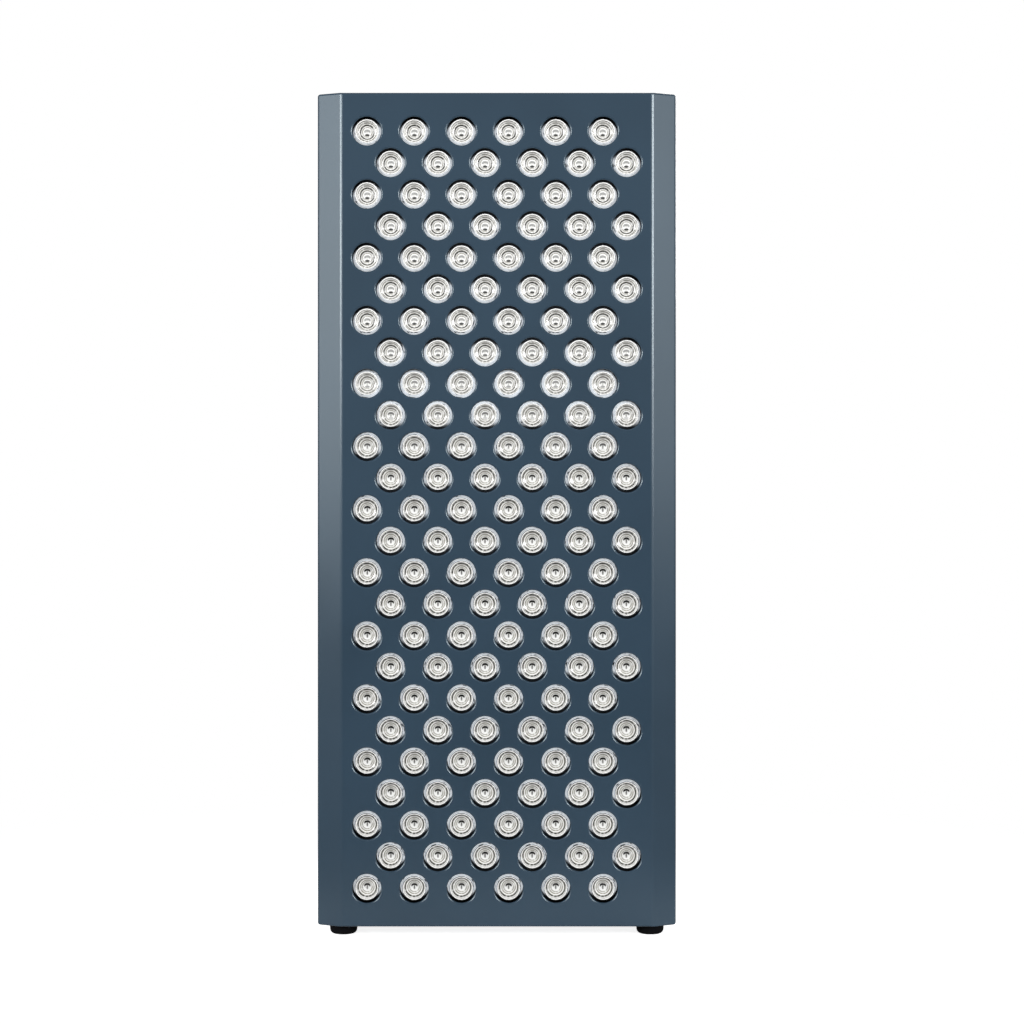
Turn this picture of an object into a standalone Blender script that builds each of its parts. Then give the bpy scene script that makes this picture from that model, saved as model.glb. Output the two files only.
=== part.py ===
"""A red light therapy panel: a tall folded steel housing with 150 lensed LEDs behind round holes.

Everything is in metres. The panel stands on z = 0 and its front faces -Y. Inside the panel's own frame,
x runs from its middle to the right, y from its front face to the rear and z up from the housing's bottom.
"""

import math

import bmesh
import bpy
from mathutils import Matrix, Vector

# Housing sheet
BODY_WIDTH = 0.300
BODY_HEIGHT = 0.695
BODY_DEPTH = 0.066
SHEET = 0.0012
BAND_WIDTH = 0.020
BAND_DEPTH = 0.010
BEND = 0.0015
FLANGE_WIDTH = 0.014
SEAT_GAP = 0.0003
OVERRUN = 0.002
BEND_ANGLE = math.radians(10)
SMOOTH_ANGLE = math.radians(50)

# Pattern of holes and lenses
ROW_COUNT = 25
COLUMN_COUNT = 6
ROWS_PER_BOARD = 5
FIELD_SIDE_MARGIN = 0.02165
FIELD_END_MARGIN = 0.0319
HOLE_RADIUS = 0.013
HOLE_SIDES = 8

# LED boards
LENS_RADIUS = 0.0102
LENS_BASE_RADIUS = 0.0122
LENS_SIDES = 7
LENS_RECESS = 0.0015
LENS_HEIGHT = 0.012
LENS_ROOT = 0.0004
BOARD_THICKNESS = 0.0016
BOARD_MARGIN = 0.0135
BOARD_JOINT = 0.0006

# Heat sinks and their standoffs
SINK_BASE = 0.003
SINK_OVERHANG = 0.0075
FIN_THICKNESS = 0.0022
FIN_COUNT = 9
FIN_EDGE = 0.006
STANDOFF_RADIUS = 0.0028
STANDOFF_INSET = 0.0035
STANDOFF_SHARES = (0.06, 0.5, 0.94)

# Fans
FAN_SIZE = 0.092
FAN_DEPTH = 0.025
FAN_CLEARANCE = 0.002
FAN_CORNER = 0.004
BORE_RADIUS = 0.044
BORE_SIDES = 16
SPIDER_THICKNESS = 0.003
SPIDER_RADIUS = 0.020
ARM_WIDTH = 0.005
ARM_ROOT = 0.001
SHAFT_RADIUS = 0.0015
BEARING_CLEARANCE = 0.0005
BEARING_SIDES = 8
HUB_RADIUS = 0.019
HUB_SIDES = 12
HUB_RIM = 0.002
HUB_INSET = 0.0015
HUB_CLEARANCE = 0.0006
BLADE_COUNT = 7
BLADE_CHORD = 0.024
BLADE_THICKNESS = 0.0014
BLADE_ROOT = 0.001
TIP_CLEARANCE = 0.0015
ROOT_PITCH = math.radians(48)
TIP_PITCH = math.radians(28)
BLADE_SWEEP = math.radians(10)

# Slots of the rear cover
GRILLE_SLOTS = 8
SLOT_WIDTH = 0.006
SLOT_WEB = 0.0042
GRILLE_MARGIN = 0.002
VENT_COUNT = 4
VENT_LENGTH = 0.060
VENT_WIDTH = 0.005
VENT_PITCH = 0.011
VENT_INSET = 0.025
VENT_DROP = 0.077
COVER_CORNER = 0.003
COVER_INSET = 0.0006

# Screws
SCREW_SIDES = 6
SCREW_RADIUS = 0.0015
SCREW_LENGTH = 0.007
SCREW_CLEARANCE = 0.0004
HEAD_RADIUS = 0.003
HEAD_HEIGHT = 0.0018
COVER_SCREW_SHARES = (0.035, 0.5, 0.965)

# Feet
FOOT_HEIGHT = 0.008
FOOT_RADIUS = 0.0117
FOOT_FLARE = 0.0006
FOOT_ROUNDING = 0.0024
FOOT_SIDES = 10
FOOT_RECESS_RADIUS = 0.0042
FOOT_RECESS_DEPTH = 0.0035
FOOT_INSET = 0.0213
FOOT_DEPTH_SHARES = {"front": 0.28, "rear": 0.73}

# Sockets in the rear cover
SOCKET_ROW = 0.060
INLET_SIDE = 0.080
OUTLET_SIDE = 0.036
BEZEL_WIDTH = 0.031
BEZEL_HEIGHT = 0.025
BEZEL_THICKNESS = 0.0025
SOCKET_WIDTH = 0.0272
SOCKET_HEIGHT = 0.0200
SOCKET_DEPTH = 0.020
CAVITY_WIDTH = 0.0240
CAVITY_HEIGHT = 0.0164
CAVITY_DEPTH = 0.0155
CAVITY_CHAMFER = 0.004
PIN_WIDTH = 0.002
PIN_HEIGHT = 0.004
PIN_LENGTH = 0.012
PIN_TAB = 0.007
PIN_SPACING = 0.007
EARTH_RISE = 0.004

# Rocker switches
RED_SWITCH_SIDE = -0.022
INFRARED_SWITCH_SIDE = -0.058
WELL_LENGTH = 0.0186
WELL_WIDTH = 0.0112
WELL_DEPTH = 0.008
SWITCH_WALL = 0.0016
SWITCH_RIM = 0.0018
SWITCH_BEZEL = 0.0018
SWITCH_DEPTH = 0.014
ROCKER_LENGTH = 0.0170
ROCKER_WIDTH = 0.0100
ROCKER_END = 0.0035
ROCKER_DIP = 0.0014
ROCKER_BELLY = 0.0038
ROCKER_FOOT_SHARE = 0.45
ROCKER_TILT = math.radians(8)
PIVOT_RADIUS = 0.0011
PIVOT_CLEARANCE = 0.0005
PIVOT_REACH = 0.0012
PIVOT_SIDES = 8

# LED drivers and terminal block
DRIVER_CLEARANCE = 0.018
DRIVER_WIDTH = 0.060
DRIVER_LENGTH = 0.200
DRIVER_PLATE = 0.002
DRIVER_CASE_HEIGHT = 0.024
DRIVER_LEDGE = 0.003
DRIVER_EAR = 0.010
DRIVER_CHAMFER = 0.002
BLOCK_RISE = 0.062
BLOCK_WAYS = 3
WAY_WIDTH = 0.010
WAY_WEB = 0.002
BLOCK_DEPTH = 0.012
BLOCK_BASE = 0.008
BLOCK_HEIGHT = 0.016

# Nuts for the hanging kit
NUT_INSET = 0.050
NUT_RADIUS = 0.0062
NUT_HEIGHT = 0.005
NUT_BORE = 0.0033
NUT_SIDES = 8

# Internal cables
CABLE_RADIUS = 0.0022
CABLE_STEPS = 2
CABLE_END_GAP = 0.0004

FIELD_WIDTH = BODY_WIDTH - 2 * BAND_WIDTH - 2 * FIELD_SIDE_MARGIN
COLUMN_PITCH = FIELD_WIDTH / (COLUMN_COUNT - 1 / 2)
ROW_PITCH = (BODY_HEIGHT - 2 * FIELD_END_MARGIN) / (ROW_COUNT - 1)
SEAT_BACK = BODY_DEPTH - SHEET - SEAT_GAP
BOARD_FRONT = LENS_RECESS + LENS_HEIGHT
BOARD_WIDTH = FIELD_WIDTH + 2 * BOARD_MARGIN
SINK_FRONT = BOARD_FRONT + BOARD_THICKNESS + SEAT_GAP
SINK_WIDTH = BOARD_WIDTH + 2 * SINK_OVERHANG
FIN_HEIGHT = SEAT_BACK - FAN_DEPTH - FAN_CLEARANCE - SINK_FRONT - SINK_BASE
DRIVER_SIDE = BODY_WIDTH / 2 - FLANGE_WIDTH - DRIVER_CLEARANCE - DRIVER_WIDTH / 2
FOOT_SIDE = BODY_WIDTH / 2 - FOOT_INSET
NUT_SIDE = BODY_WIDTH / 2 - NUT_INSET
PIVOT_DEPTH = BODY_DEPTH + SEAT_GAP
ROCKER_TIP = ROCKER_END * math.cos(ROCKER_TILT) + ROCKER_LENGTH / 2 * math.sin(ROCKER_TILT)
REAR_RELIEF = PIVOT_DEPTH + ROCKER_TIP - BODY_DEPTH
FRONT_PLANE = -(BODY_DEPTH + REAR_RELIEF) / 2
HOUSING_BOTTOM = FOOT_HEIGHT + SEAT_GAP

FINISHES = {
    "slate_paint": ((0.048, 0.080, 0.117), 0.38, 0.0),
    "black_plastic": ((0.018, 0.018, 0.020), 0.45, 0.0),
    "black_rubber": ((0.010, 0.010, 0.011), 0.80, 0.0),
    "clear_lens": ((0.780, 0.770, 0.730), 0.12, 0.0),
    "aluminium": ((0.620, 0.630, 0.640), 0.35, 1.0),
    "steel": ((0.560, 0.560, 0.570), 0.30, 1.0),
    "brass": ((0.600, 0.430, 0.180), 0.30, 1.0),
    "red_plastic": ((0.420, 0.020, 0.018), 0.35, 0.0),
    "cream_plastic": ((0.700, 0.660, 0.560), 0.50, 0.0),
}


def clear_scene():
    for old in list(bpy.data.objects):
        bpy.data.objects.remove(old, do_unlink=True)


clear_scene()
PARTS = bpy.data.collections.new("red_light_therapy_panel")
CUTTERS = bpy.data.collections.new("cutters")
for group in (PARTS, CUTTERS):
    bpy.context.scene.collection.children.link(group)
PANEL = bpy.data.objects.new("panel_frame", None)
PANEL.location = (0, FRONT_PLANE, HOUSING_BOTTOM)
PARTS.objects.link(PANEL)


# Modelling helpers


def finish(name, slot):
    """A material of its own for one sub-part, in one of the panel's finishes."""
    colour, roughness, metallic = FINISHES[slot]
    made = bpy.data.materials.new(name + "_" + slot)
    made.use_nodes = True
    shader = made.node_tree.nodes["Principled BSDF"]
    shader.inputs["Base Color"].default_value = (*colour, 1.0)
    shader.inputs["Roughness"].default_value = roughness
    shader.inputs["Metallic"].default_value = metallic
    return made


def place(obj, slot=None, at=(0, 0, 0), turn=(0, 0, 0), parent=None):
    """Puts an object in the panel's frame. Without a finish it is a cutter."""
    obj.parent = parent or PANEL
    obj.location = at
    obj.rotation_euler = turn
    if slot:
        obj.data.materials.append(finish(obj.name, slot))
        PARTS.objects.link(obj)
    else:
        obj.hide_render = True
        obj.display_type = "WIRE"
        CUTTERS.objects.link(obj)
    return obj


def mesh_object(name, bm):
    mesh = bpy.data.meshes.new(name)
    bm.to_mesh(mesh)
    bm.free()
    mesh.shade_smooth()
    mesh.set_sharp_from_angle(angle=SMOOTH_ANGLE)
    return bpy.data.objects.new(name, mesh)


def face_outwards(bm):
    bmesh.ops.recalc_face_normals(bm, faces=bm.faces)
    if bm.calc_volume(signed=True) < 0:
        bmesh.ops.reverse_faces(bm, faces=bm.faces)


def add_box(bm, low, high):
    low, high = Vector(low), Vector(high)
    middle = Matrix.Translation((low + high) / 2)
    made = bmesh.ops.create_cube(bm, size=1.0, matrix=middle @ Matrix.Diagonal((*(high - low), 1)))
    return made["verts"]


def add_rod(bm, radius, start, end, sides):
    """A closed cylinder between two points."""
    start, end = Vector(start), Vector(end)
    run = end - start
    turn = run.to_track_quat("Z", "Y").to_matrix().to_4x4()
    bmesh.ops.create_cone(
        bm,
        cap_ends=True,
        segments=sides,
        radius1=radius,
        radius2=radius,
        depth=run.length,
        matrix=Matrix.Translation((start + end) / 2) @ turn,
    )


def face_towards(bm, direction):
    """The face that looks furthest along a direction and lies furthest that way."""
    way = Vector(direction)
    bm.normal_update()
    return max(bm.faces, key=lambda face: (round(face.normal.dot(way), 3), face.calc_center_median().dot(way)))


def drawn_out(bm, face, move, scale=(1, 1, 1)):
    """Extrudes a face, moves what it made and scales it about its own middle."""
    made = bmesh.ops.extrude_face_region(bm, geom=[face])
    bmesh.ops.delete(bm, geom=[face], context="FACES_ONLY")
    verts = [item for item in made["geom"] if isinstance(item, bmesh.types.BMVert)]
    bmesh.ops.translate(bm, verts=verts, vec=move)
    middle = sum((vert.co for vert in verts), Vector()) / len(verts)
    bmesh.ops.scale(bm, vec=scale, verts=verts, space=Matrix.Translation(-middle))
    return next(item for item in made["geom"] if isinstance(item, bmesh.types.BMFace))


def circle(radius, sides, centre=(0, 0), start=0.0):
    steps = [start + 2 * math.pi * i / sides for i in range(sides)]
    return [(centre[0] + radius * math.cos(a), centre[1] + radius * math.sin(a)) for a in steps]


def rectangle(width, height, centre=(0, 0), chamfer=0.0):
    """Corner points of a rectangle, anticlockwise, its corners cut off if they are chamfered."""
    x, y = width / 2, height / 2
    points = []
    for sx, sy in ((1, -1), (1, 1), (-1, 1), (-1, -1)):
        if chamfer:
            along, up = (sx * (x - chamfer), sy * y), (sx * x, sy * (y - chamfer))
            points += [along, up] if sx * sy < 0 else [up, along]
        else:
            points.append((sx * x, sy * y))
    return [(centre[0] + px, centre[1] + py) for px, py in points]


def sheet_object(name, loops, thickness):
    """A flat piece cut to closed loops of points: the outside first, then its holes."""
    curve = bpy.data.curves.new(name, "CURVE")
    curve.dimensions = "2D"
    curve.fill_mode = "BOTH"
    curve.extrude = thickness / 2
    for loop in loops:
        spline = curve.splines.new("POLY")
        spline.points.add(len(loop) - 1)
        for point, (x, y) in zip(spline.points, loop):
            point.co = (x, y, 0, 1)
        spline.use_cyclic_u = True
    return bpy.data.objects.new(name, curve)


def solid_sheet(name, loops, thickness):
    """The same flat piece as a mesh with its caps welded, for pieces that are cut or joined."""
    drawn = sheet_object(name + "_outline", loops, thickness)
    CUTTERS.objects.link(drawn)
    bpy.context.view_layer.update()
    graph = bpy.context.evaluated_depsgraph_get()
    mesh = bpy.data.meshes.new_from_object(drawn.evaluated_get(graph))
    bpy.data.objects.remove(drawn, do_unlink=True)
    bm = bmesh.new()
    bm.from_mesh(mesh)
    bpy.data.meshes.remove(mesh)
    bmesh.ops.remove_doubles(bm, verts=bm.verts, dist=SEAT_GAP / 100)
    return mesh_object(name, bm)


def turned_object(name, profile, sides):
    """A turned piece about its own Z: its profile of (radius, height) runs down its outer side."""
    bm = bmesh.new()
    verts = [bm.verts.new((radius, 0, height)) for radius, height in profile]
    for first, second in zip(verts, verts[1:]):
        bm.edges.new((first, second))
    if profile[0][0] and profile[-1][0]:
        bm.edges.new((verts[-1], verts[0]))
    mesh = bpy.data.meshes.new(name)
    bm.to_mesh(mesh)
    bm.free()
    obj = bpy.data.objects.new(name, mesh)
    screw = obj.modifiers.new("Turn", "SCREW")
    screw.steps = screw.render_steps = sides
    screw.use_merge_vertices = True
    screw.merge_threshold = SEAT_GAP / 100
    screw.use_smooth_shade = True
    return obj


def combine(obj, other, operation):
    boolean = obj.modifiers.new(operation.title(), "BOOLEAN")
    boolean.operation = operation
    boolean.object = other


def cut(obj, cutter):
    combine(obj, cutter, "DIFFERENCE")


def join(obj, other):
    combine(obj, other, "UNION")


# Where the pattern puts things


def row_height(row):
    """Row 0 is the top row."""
    return BODY_HEIGHT - FIELD_END_MARGIN - row * ROW_PITCH


def lens_places(rows):
    """Even rows start at the left edge of the field, odd rows half a pitch further in."""
    for row in rows:
        left = -FIELD_WIDTH / 2 + (row % 2) * COLUMN_PITCH / 2
        for column in range(COLUMN_COUNT):
            yield left + column * COLUMN_PITCH, row_height(row)


def screw_places():
    side = BODY_WIDTH / 2 - FLANGE_WIDTH / 2
    return [(sign * side, BODY_HEIGHT * share) for sign in (-1, 1) for share in COVER_SCREW_SHARES]


def foot_places():
    sides = {"left": -FOOT_SIDE, "right": FOOT_SIDE}
    return {
        f"{end}_{side}": (x, share * BODY_DEPTH)
        for end, share in FOOT_DEPTH_SHARES.items()
        for side, x in sides.items()
    }


def sink_spans():
    """Lowest and highest point of the lower and the upper heat sink, which meet halfway up the field."""
    low = row_height(ROW_COUNT - 1) - ROW_PITCH / 2
    high = row_height(0) + ROW_PITCH / 2
    middle = (low + high) / 2
    return {"lower": (low, middle - BOARD_JOINT / 2), "upper": (middle + BOARD_JOINT / 2, high)}


def fan_heights():
    """One fan behind the middle of each heat sink."""
    return [(low + high) / 2 for low, high in sink_spans().values()]


# Housing


def front_cover():
    """The tray: a box drawn in at the front for the slanted bands, opened at the rear inside its flange."""
    bm = bmesh.new()
    add_box(bm, (-BODY_WIDTH / 2, BAND_DEPTH, 0), (BODY_WIDTH / 2, SEAT_BACK, BODY_HEIGHT))
    flat_share = 1 - 2 * BAND_WIDTH / BODY_WIDTH
    drawn_out(bm, face_towards(bm, (0, -1, 0)), (0, -BAND_DEPTH, 0), (flat_share, 1, 1))
    rear = face_towards(bm, (0, 1, 0))
    bmesh.ops.inset_region(bm, faces=[rear], thickness=FLANGE_WIDTH, use_even_offset=True)
    bmesh.ops.delete(bm, geom=[rear], context="FACES_ONLY")
    folds = [edge for edge in bm.edges if len(edge.link_faces) == 2 and edge.calc_face_angle() > BEND_ANGLE]
    bmesh.ops.bevel(bm, geom=folds, offset=BEND, segments=1, affect="EDGES")
    tray = place(mesh_object("front_cover", bm), "slate_paint")
    wall = tray.modifiers.new("Sheet", "SOLIDIFY")
    wall.thickness = SHEET
    wall.offset = -1
    wall.use_even_offset = True
    cut(tray, place(front_cover_holes()))


def front_cover_holes():
    bm = bmesh.new()
    for x, z in lens_places(range(ROW_COUNT)):
        add_rod(bm, HOLE_RADIUS, (x, -OVERRUN, z), (x, SHEET + OVERRUN, z), HOLE_SIDES)
    for x, z in screw_places():
        ends = (x, SEAT_BACK - SHEET - OVERRUN, z), (x, SEAT_BACK + OVERRUN, z)
        add_rod(bm, SCREW_RADIUS + SCREW_CLEARANCE, *ends, SCREW_SIDES)
    for x, y in foot_places().values():
        add_rod(bm, SCREW_RADIUS + SCREW_CLEARANCE, (x, y, -OVERRUN), (x, y, SHEET + OVERRUN), SCREW_SIDES)
    for side in (-NUT_SIDE, NUT_SIDE):
        ends = (side, BODY_DEPTH / 2, BODY_HEIGHT - SHEET - OVERRUN), (side, BODY_DEPTH / 2, BODY_HEIGHT + OVERRUN)
        add_rod(bm, NUT_BORE, *ends, NUT_SIDES)
    return mesh_object("front_cover_holes", bm)


def grille_loops(height):
    """Upright slots that fill the fan's circle, each as long as the circle is high there."""
    pitch = SLOT_WIDTH + SLOT_WEB
    reach = BORE_RADIUS - GRILLE_MARGIN
    for i in range(GRILLE_SLOTS):
        x = (i - (GRILLE_SLOTS - 1) / 2) * pitch
        half = math.sqrt(reach**2 - (abs(x) + SLOT_WIDTH / 2) ** 2)
        yield rectangle(SLOT_WIDTH, 2 * half, (x, height))


def rear_cover():
    size = BODY_WIDTH - 2 * COVER_INSET, BODY_HEIGHT - 2 * COVER_INSET
    loops = [rectangle(*size, (0, BODY_HEIGHT / 2), COVER_CORNER)]
    for height in fan_heights():
        loops += grille_loops(height)
    vent = BODY_WIDTH / 2 - VENT_INSET - VENT_LENGTH / 2
    for side in (-vent, vent):
        heights = [BODY_HEIGHT - VENT_DROP - i * VENT_PITCH for i in range(VENT_COUNT)]
        loops += [rectangle(VENT_LENGTH, VENT_WIDTH, (side, height)) for height in heights]
    for side in (INLET_SIDE, OUTLET_SIDE):
        size = SOCKET_WIDTH + 2 * SEAT_GAP, SOCKET_HEIGHT + 2 * SEAT_GAP
        loops.append(rectangle(*size, (side, SOCKET_ROW)))
    for side in (RED_SWITCH_SIDE, INFRARED_SWITCH_SIDE):
        size = WELL_WIDTH + 2 * SWITCH_WALL + 2 * SEAT_GAP, WELL_LENGTH + 2 * SWITCH_WALL + 2 * SEAT_GAP
        loops.append(rectangle(*size, (side, SOCKET_ROW)))
    loops += [circle(SCREW_RADIUS + SCREW_CLEARANCE, SCREW_SIDES, spot) for spot in screw_places()]
    sheet = sheet_object("rear_cover", loops, SHEET)
    place(sheet, "slate_paint", at=(0, BODY_DEPTH - SHEET / 2, 0), turn=(math.pi / 2, 0, 0))


# LED boards


def add_lens(bm, x, z):
    """A lens that covers its emitter: its skirt flares from the front down to the board."""
    spot = Matrix.Translation((x, (LENS_RECESS + BOARD_FRONT + LENS_ROOT) / 2, z))
    bmesh.ops.create_cone(
        bm,
        cap_ends=True,
        segments=LENS_SIDES,
        radius1=LENS_RADIUS,
        radius2=LENS_BASE_RADIUS,
        depth=LENS_HEIGHT + LENS_ROOT,
        matrix=spot @ Matrix.Rotation(-math.pi / 2, 4, "X"),
    )


def led_board(number):
    """A board and the lenses that stand on it, as one solid."""
    rows = range((number - 1) * ROWS_PER_BOARD, number * ROWS_PER_BOARD)
    edge = ROW_PITCH / 2 - BOARD_JOINT / 2
    low = (-BOARD_WIDTH / 2, BOARD_FRONT, row_height(rows[-1]) - edge)
    high = (BOARD_WIDTH / 2, BOARD_FRONT + BOARD_THICKNESS, row_height(rows[0]) + edge)
    bm = bmesh.new()
    add_box(bm, low, high)
    board = place(mesh_object(f"led_board_{number}", bm), "clear_lens")
    lenses = bmesh.new()
    for x, z in lens_places(rows):
        add_lens(lenses, x, z)
    bmesh.ops.recalc_face_normals(lenses, faces=lenses.faces)
    join(board, place(mesh_object(f"led_board_{number}_lenses", lenses)))


# Heat sinks


def sink_profile():
    """The extrusion's outline: a flat base with fins standing to the rear."""
    half = SINK_WIDTH / 2
    base, tips = SINK_BASE, SINK_BASE + FIN_HEIGHT
    pitch = (SINK_WIDTH - 2 * FIN_EDGE - FIN_THICKNESS) / (FIN_COUNT - 1)
    points = [(-half, 0), (half, 0), (half, base)]
    for i in reversed(range(FIN_COUNT)):
        left = -half + FIN_EDGE + i * pitch
        right = left + FIN_THICKNESS
        points += [(right, base), (right, tips), (left, tips), (left, base)]
    return points + [(-half, base)]


def heat_sinks():
    for name, (low, high) in sink_spans().items():
        extrusion = sheet_object(f"heat_sink_{name}", [sink_profile()], high - low)
        place(extrusion, "aluminium", at=(0, SINK_FRONT, (low + high) / 2))


def standoffs():
    ends = SHEET + SEAT_GAP, SINK_FRONT - SEAT_GAP
    for name, sign in (("left", -1), ("right", 1)):
        x = sign * (SINK_WIDTH / 2 - STANDOFF_INSET)
        for i, share in enumerate(STANDOFF_SHARES, 1):
            bm = bmesh.new()
            add_rod(bm, STANDOFF_RADIUS, (0, ends[0], 0), (0, ends[1], 0), SCREW_SIDES)
            place(mesh_object(f"standoff_{name}_{i}", bm), "brass", at=(x, 0, BODY_HEIGHT * share))


# Fans


def spider_loop():
    """Outline of the fan's fixed hub and the four arms that hold it."""
    reach = BORE_RADIUS + ARM_ROOT
    points = []
    for arm in range(4):
        way = math.pi / 4 + arm * math.pi / 2
        out, across = Vector((math.cos(way), math.sin(way))), Vector((-math.sin(way), math.cos(way)))
        points += [out * reach - across * ARM_WIDTH / 2, out * reach + across * ARM_WIDTH / 2]
        spread = math.asin(ARM_WIDTH / 2 / SPIDER_RADIUS)
        stops = [way + spread, way + math.pi / 4, way + math.pi / 2 - spread]
        points += [Vector((math.cos(a), math.sin(a))) * SPIDER_RADIUS for a in stops]
    return [tuple(point) for point in points]


def fan_frame(number, axis):
    """The square frame: its bore runs through, and its rear end carries the bearing on four arms."""
    across = (math.pi / 2, 0, 0)
    bore = circle(BORE_RADIUS / math.cos(math.pi / BORE_SIDES), BORE_SIDES, start=math.pi / BORE_SIDES)
    loops = [rectangle(FAN_SIZE, FAN_SIZE, chamfer=FAN_CORNER), bore]
    frame = solid_sheet(f"fan_frame_{number}", loops, FAN_DEPTH)
    place(frame, "black_plastic", at=(0, -FAN_DEPTH / 2, 0), turn=across, parent=axis)
    bearing = circle(SHAFT_RADIUS + BEARING_CLEARANCE, BEARING_SIDES)
    spider = solid_sheet(f"fan_spider_{number}", [spider_loop(), bearing], SPIDER_THICKNESS)
    join(frame, place(spider, at=(0, -SPIDER_THICKNESS / 2 - SEAT_GAP, 0), turn=across, parent=axis))


def blade_mesh(bm):
    """One twisted blade on the +Z side of the hub, from a grid whose points are set by radius and chord."""
    root = HUB_RADIUS - BLADE_ROOT
    tip = BORE_RADIUS - TIP_CLEARANCE
    middle = -FAN_DEPTH + HUB_INSET + hub_length() / 2
    made = bmesh.ops.create_grid(bm, x_segments=2, y_segments=1, size=1.0)
    for vert in made["verts"]:
        out, along = (vert.co.x + 1) / 2, vert.co.y / 2
        radius = root + out * (tip - root)
        pitch = ROOT_PITCH + out * (TIP_PITCH - ROOT_PITCH)
        turn = along * BLADE_CHORD * math.cos(pitch) / radius + out * BLADE_SWEEP
        axial = along * BLADE_CHORD * math.sin(pitch)
        vert.co = (radius * math.sin(turn), middle + axial, radius * math.cos(turn))
    bm.normal_update()
    bmesh.ops.solidify(bm, geom=list(bm.faces), thickness=BLADE_THICKNESS)
    face_outwards(bm)


def hub_length():
    return FAN_DEPTH - HUB_INSET - SPIDER_THICKNESS - SEAT_GAP - HUB_CLEARANCE


def fan_rotor(number, axis):
    """Hub, shaft and blades. Its origin lies on the fan's axis, at the rear end of the frame."""
    back = -SPIDER_THICKNESS - SEAT_GAP - HUB_CLEARANCE
    front = back - hub_length()
    profile = [
        (0, -front),
        (HUB_RADIUS - HUB_RIM, -front),
        (HUB_RADIUS, -front - HUB_RIM),
        (HUB_RADIUS, -back),
        (SHAFT_RADIUS, -back),
        (SHAFT_RADIUS, SEAT_GAP),
        (0, SEAT_GAP),
    ]
    rotor = turned_object(f"fan_rotor_{number}", profile, HUB_SIDES)
    place(rotor, "black_plastic", turn=(math.pi / 2, 0, 0), parent=axis)
    bm = bmesh.new()
    for i in range(BLADE_COUNT):
        one = bmesh.new()
        blade_mesh(one)
        one.transform(Matrix.Rotation(2 * math.pi * i / BLADE_COUNT, 4, "Y"))
        held = bpy.data.meshes.new("blade")
        one.to_mesh(held)
        one.free()
        bm.from_mesh(held)
        bpy.data.meshes.remove(held)
    join(rotor, place(mesh_object(f"fan_blades_{number}", bm), parent=axis))


def fans():
    for number, height in enumerate(fan_heights(), 1):
        axis = bpy.data.objects.new(f"fan_axis_{number}", None)
        axis.parent = PANEL
        axis.location = (0, SEAT_BACK, height)
        PARTS.objects.link(axis)
        fan_frame(number, axis)
        fan_rotor(number, axis)


# Screws and feet


def screw(name, at, turn):
    """A pan head screw. Its shank runs down from the underside of its head, which is at its origin."""
    profile = [
        (0, HEAD_HEIGHT),
        (HEAD_RADIUS, HEAD_HEIGHT),
        (HEAD_RADIUS, 0),
        (SCREW_RADIUS, 0),
        (SCREW_RADIUS, -SCREW_LENGTH),
        (0, -SCREW_LENGTH),
    ]
    place(turned_object(name, profile, SCREW_SIDES), "steel", at=at, turn=turn)


def cover_screws():
    for i, (x, z) in enumerate(screw_places(), 1):
        screw(f"cover_screw_{i}", (x, BODY_DEPTH + SEAT_GAP, z), (-math.pi / 2, 0, 0))


def feet():
    """A flared rubber foot with a recess for the screw that holds it."""
    hole = SCREW_RADIUS + SCREW_CLEARANCE
    recess_top = FOOT_RECESS_DEPTH
    profile = [
        (hole, FOOT_HEIGHT),
        (FOOT_RADIUS, FOOT_HEIGHT),
        (FOOT_RADIUS - FOOT_FLARE, FOOT_ROUNDING),
        (FOOT_RADIUS - FOOT_FLARE - FOOT_ROUNDING, 0),
        (FOOT_RECESS_RADIUS, 0),
        (FOOT_RECESS_RADIUS, recess_top),
        (hole, recess_top),
    ]
    for name, (x, y) in foot_places().items():
        foot = turned_object(f"foot_{name}", profile, FOOT_SIDES)
        place(foot, "black_rubber", at=(x, y, -HOUSING_BOTTOM))
        head = -HOUSING_BOTTOM + recess_top - SEAT_GAP
        screw(f"foot_screw_{name}", (x, y, head), (math.pi, 0, 0))


# Sockets


def pin_places():
    """Contacts seen from behind: two in a row and the earth contact above them."""
    return {
        "line": (PIN_SPACING, -EARTH_RISE / 2),
        "neutral": (-PIN_SPACING, -EARTH_RISE / 2),
        "earth": (0, EARTH_RISE / 2),
    }


def socket_body(name, side):
    """A bezel behind the rear cover, with the body that goes through it drawn out of its front."""
    low = (side - BEZEL_WIDTH / 2, BODY_DEPTH + SEAT_GAP, SOCKET_ROW - BEZEL_HEIGHT / 2)
    high = (side + BEZEL_WIDTH / 2, BODY_DEPTH + SEAT_GAP + BEZEL_THICKNESS, SOCKET_ROW + BEZEL_HEIGHT / 2)
    bm = bmesh.new()
    add_box(bm, low, high)
    shoulder = (SOCKET_WIDTH / BEZEL_WIDTH, 1, SOCKET_HEIGHT / BEZEL_HEIGHT)
    neck = drawn_out(bm, face_towards(bm, (0, -1, 0)), (0, 0, 0), shoulder)
    drawn_out(bm, neck, (0, -SOCKET_DEPTH, 0))
    return place(mesh_object(name, bm), "black_plastic")


def add_pin_box(bm, side, spot, low, high, growth):
    x, z = side + spot[0], SOCKET_ROW + spot[1]
    half_width, half_height = PIN_WIDTH / 2 + growth, PIN_HEIGHT / 2 + growth
    add_box(bm, (x - half_width, low, z - half_height), (x + half_width, high, z + half_height))


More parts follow.
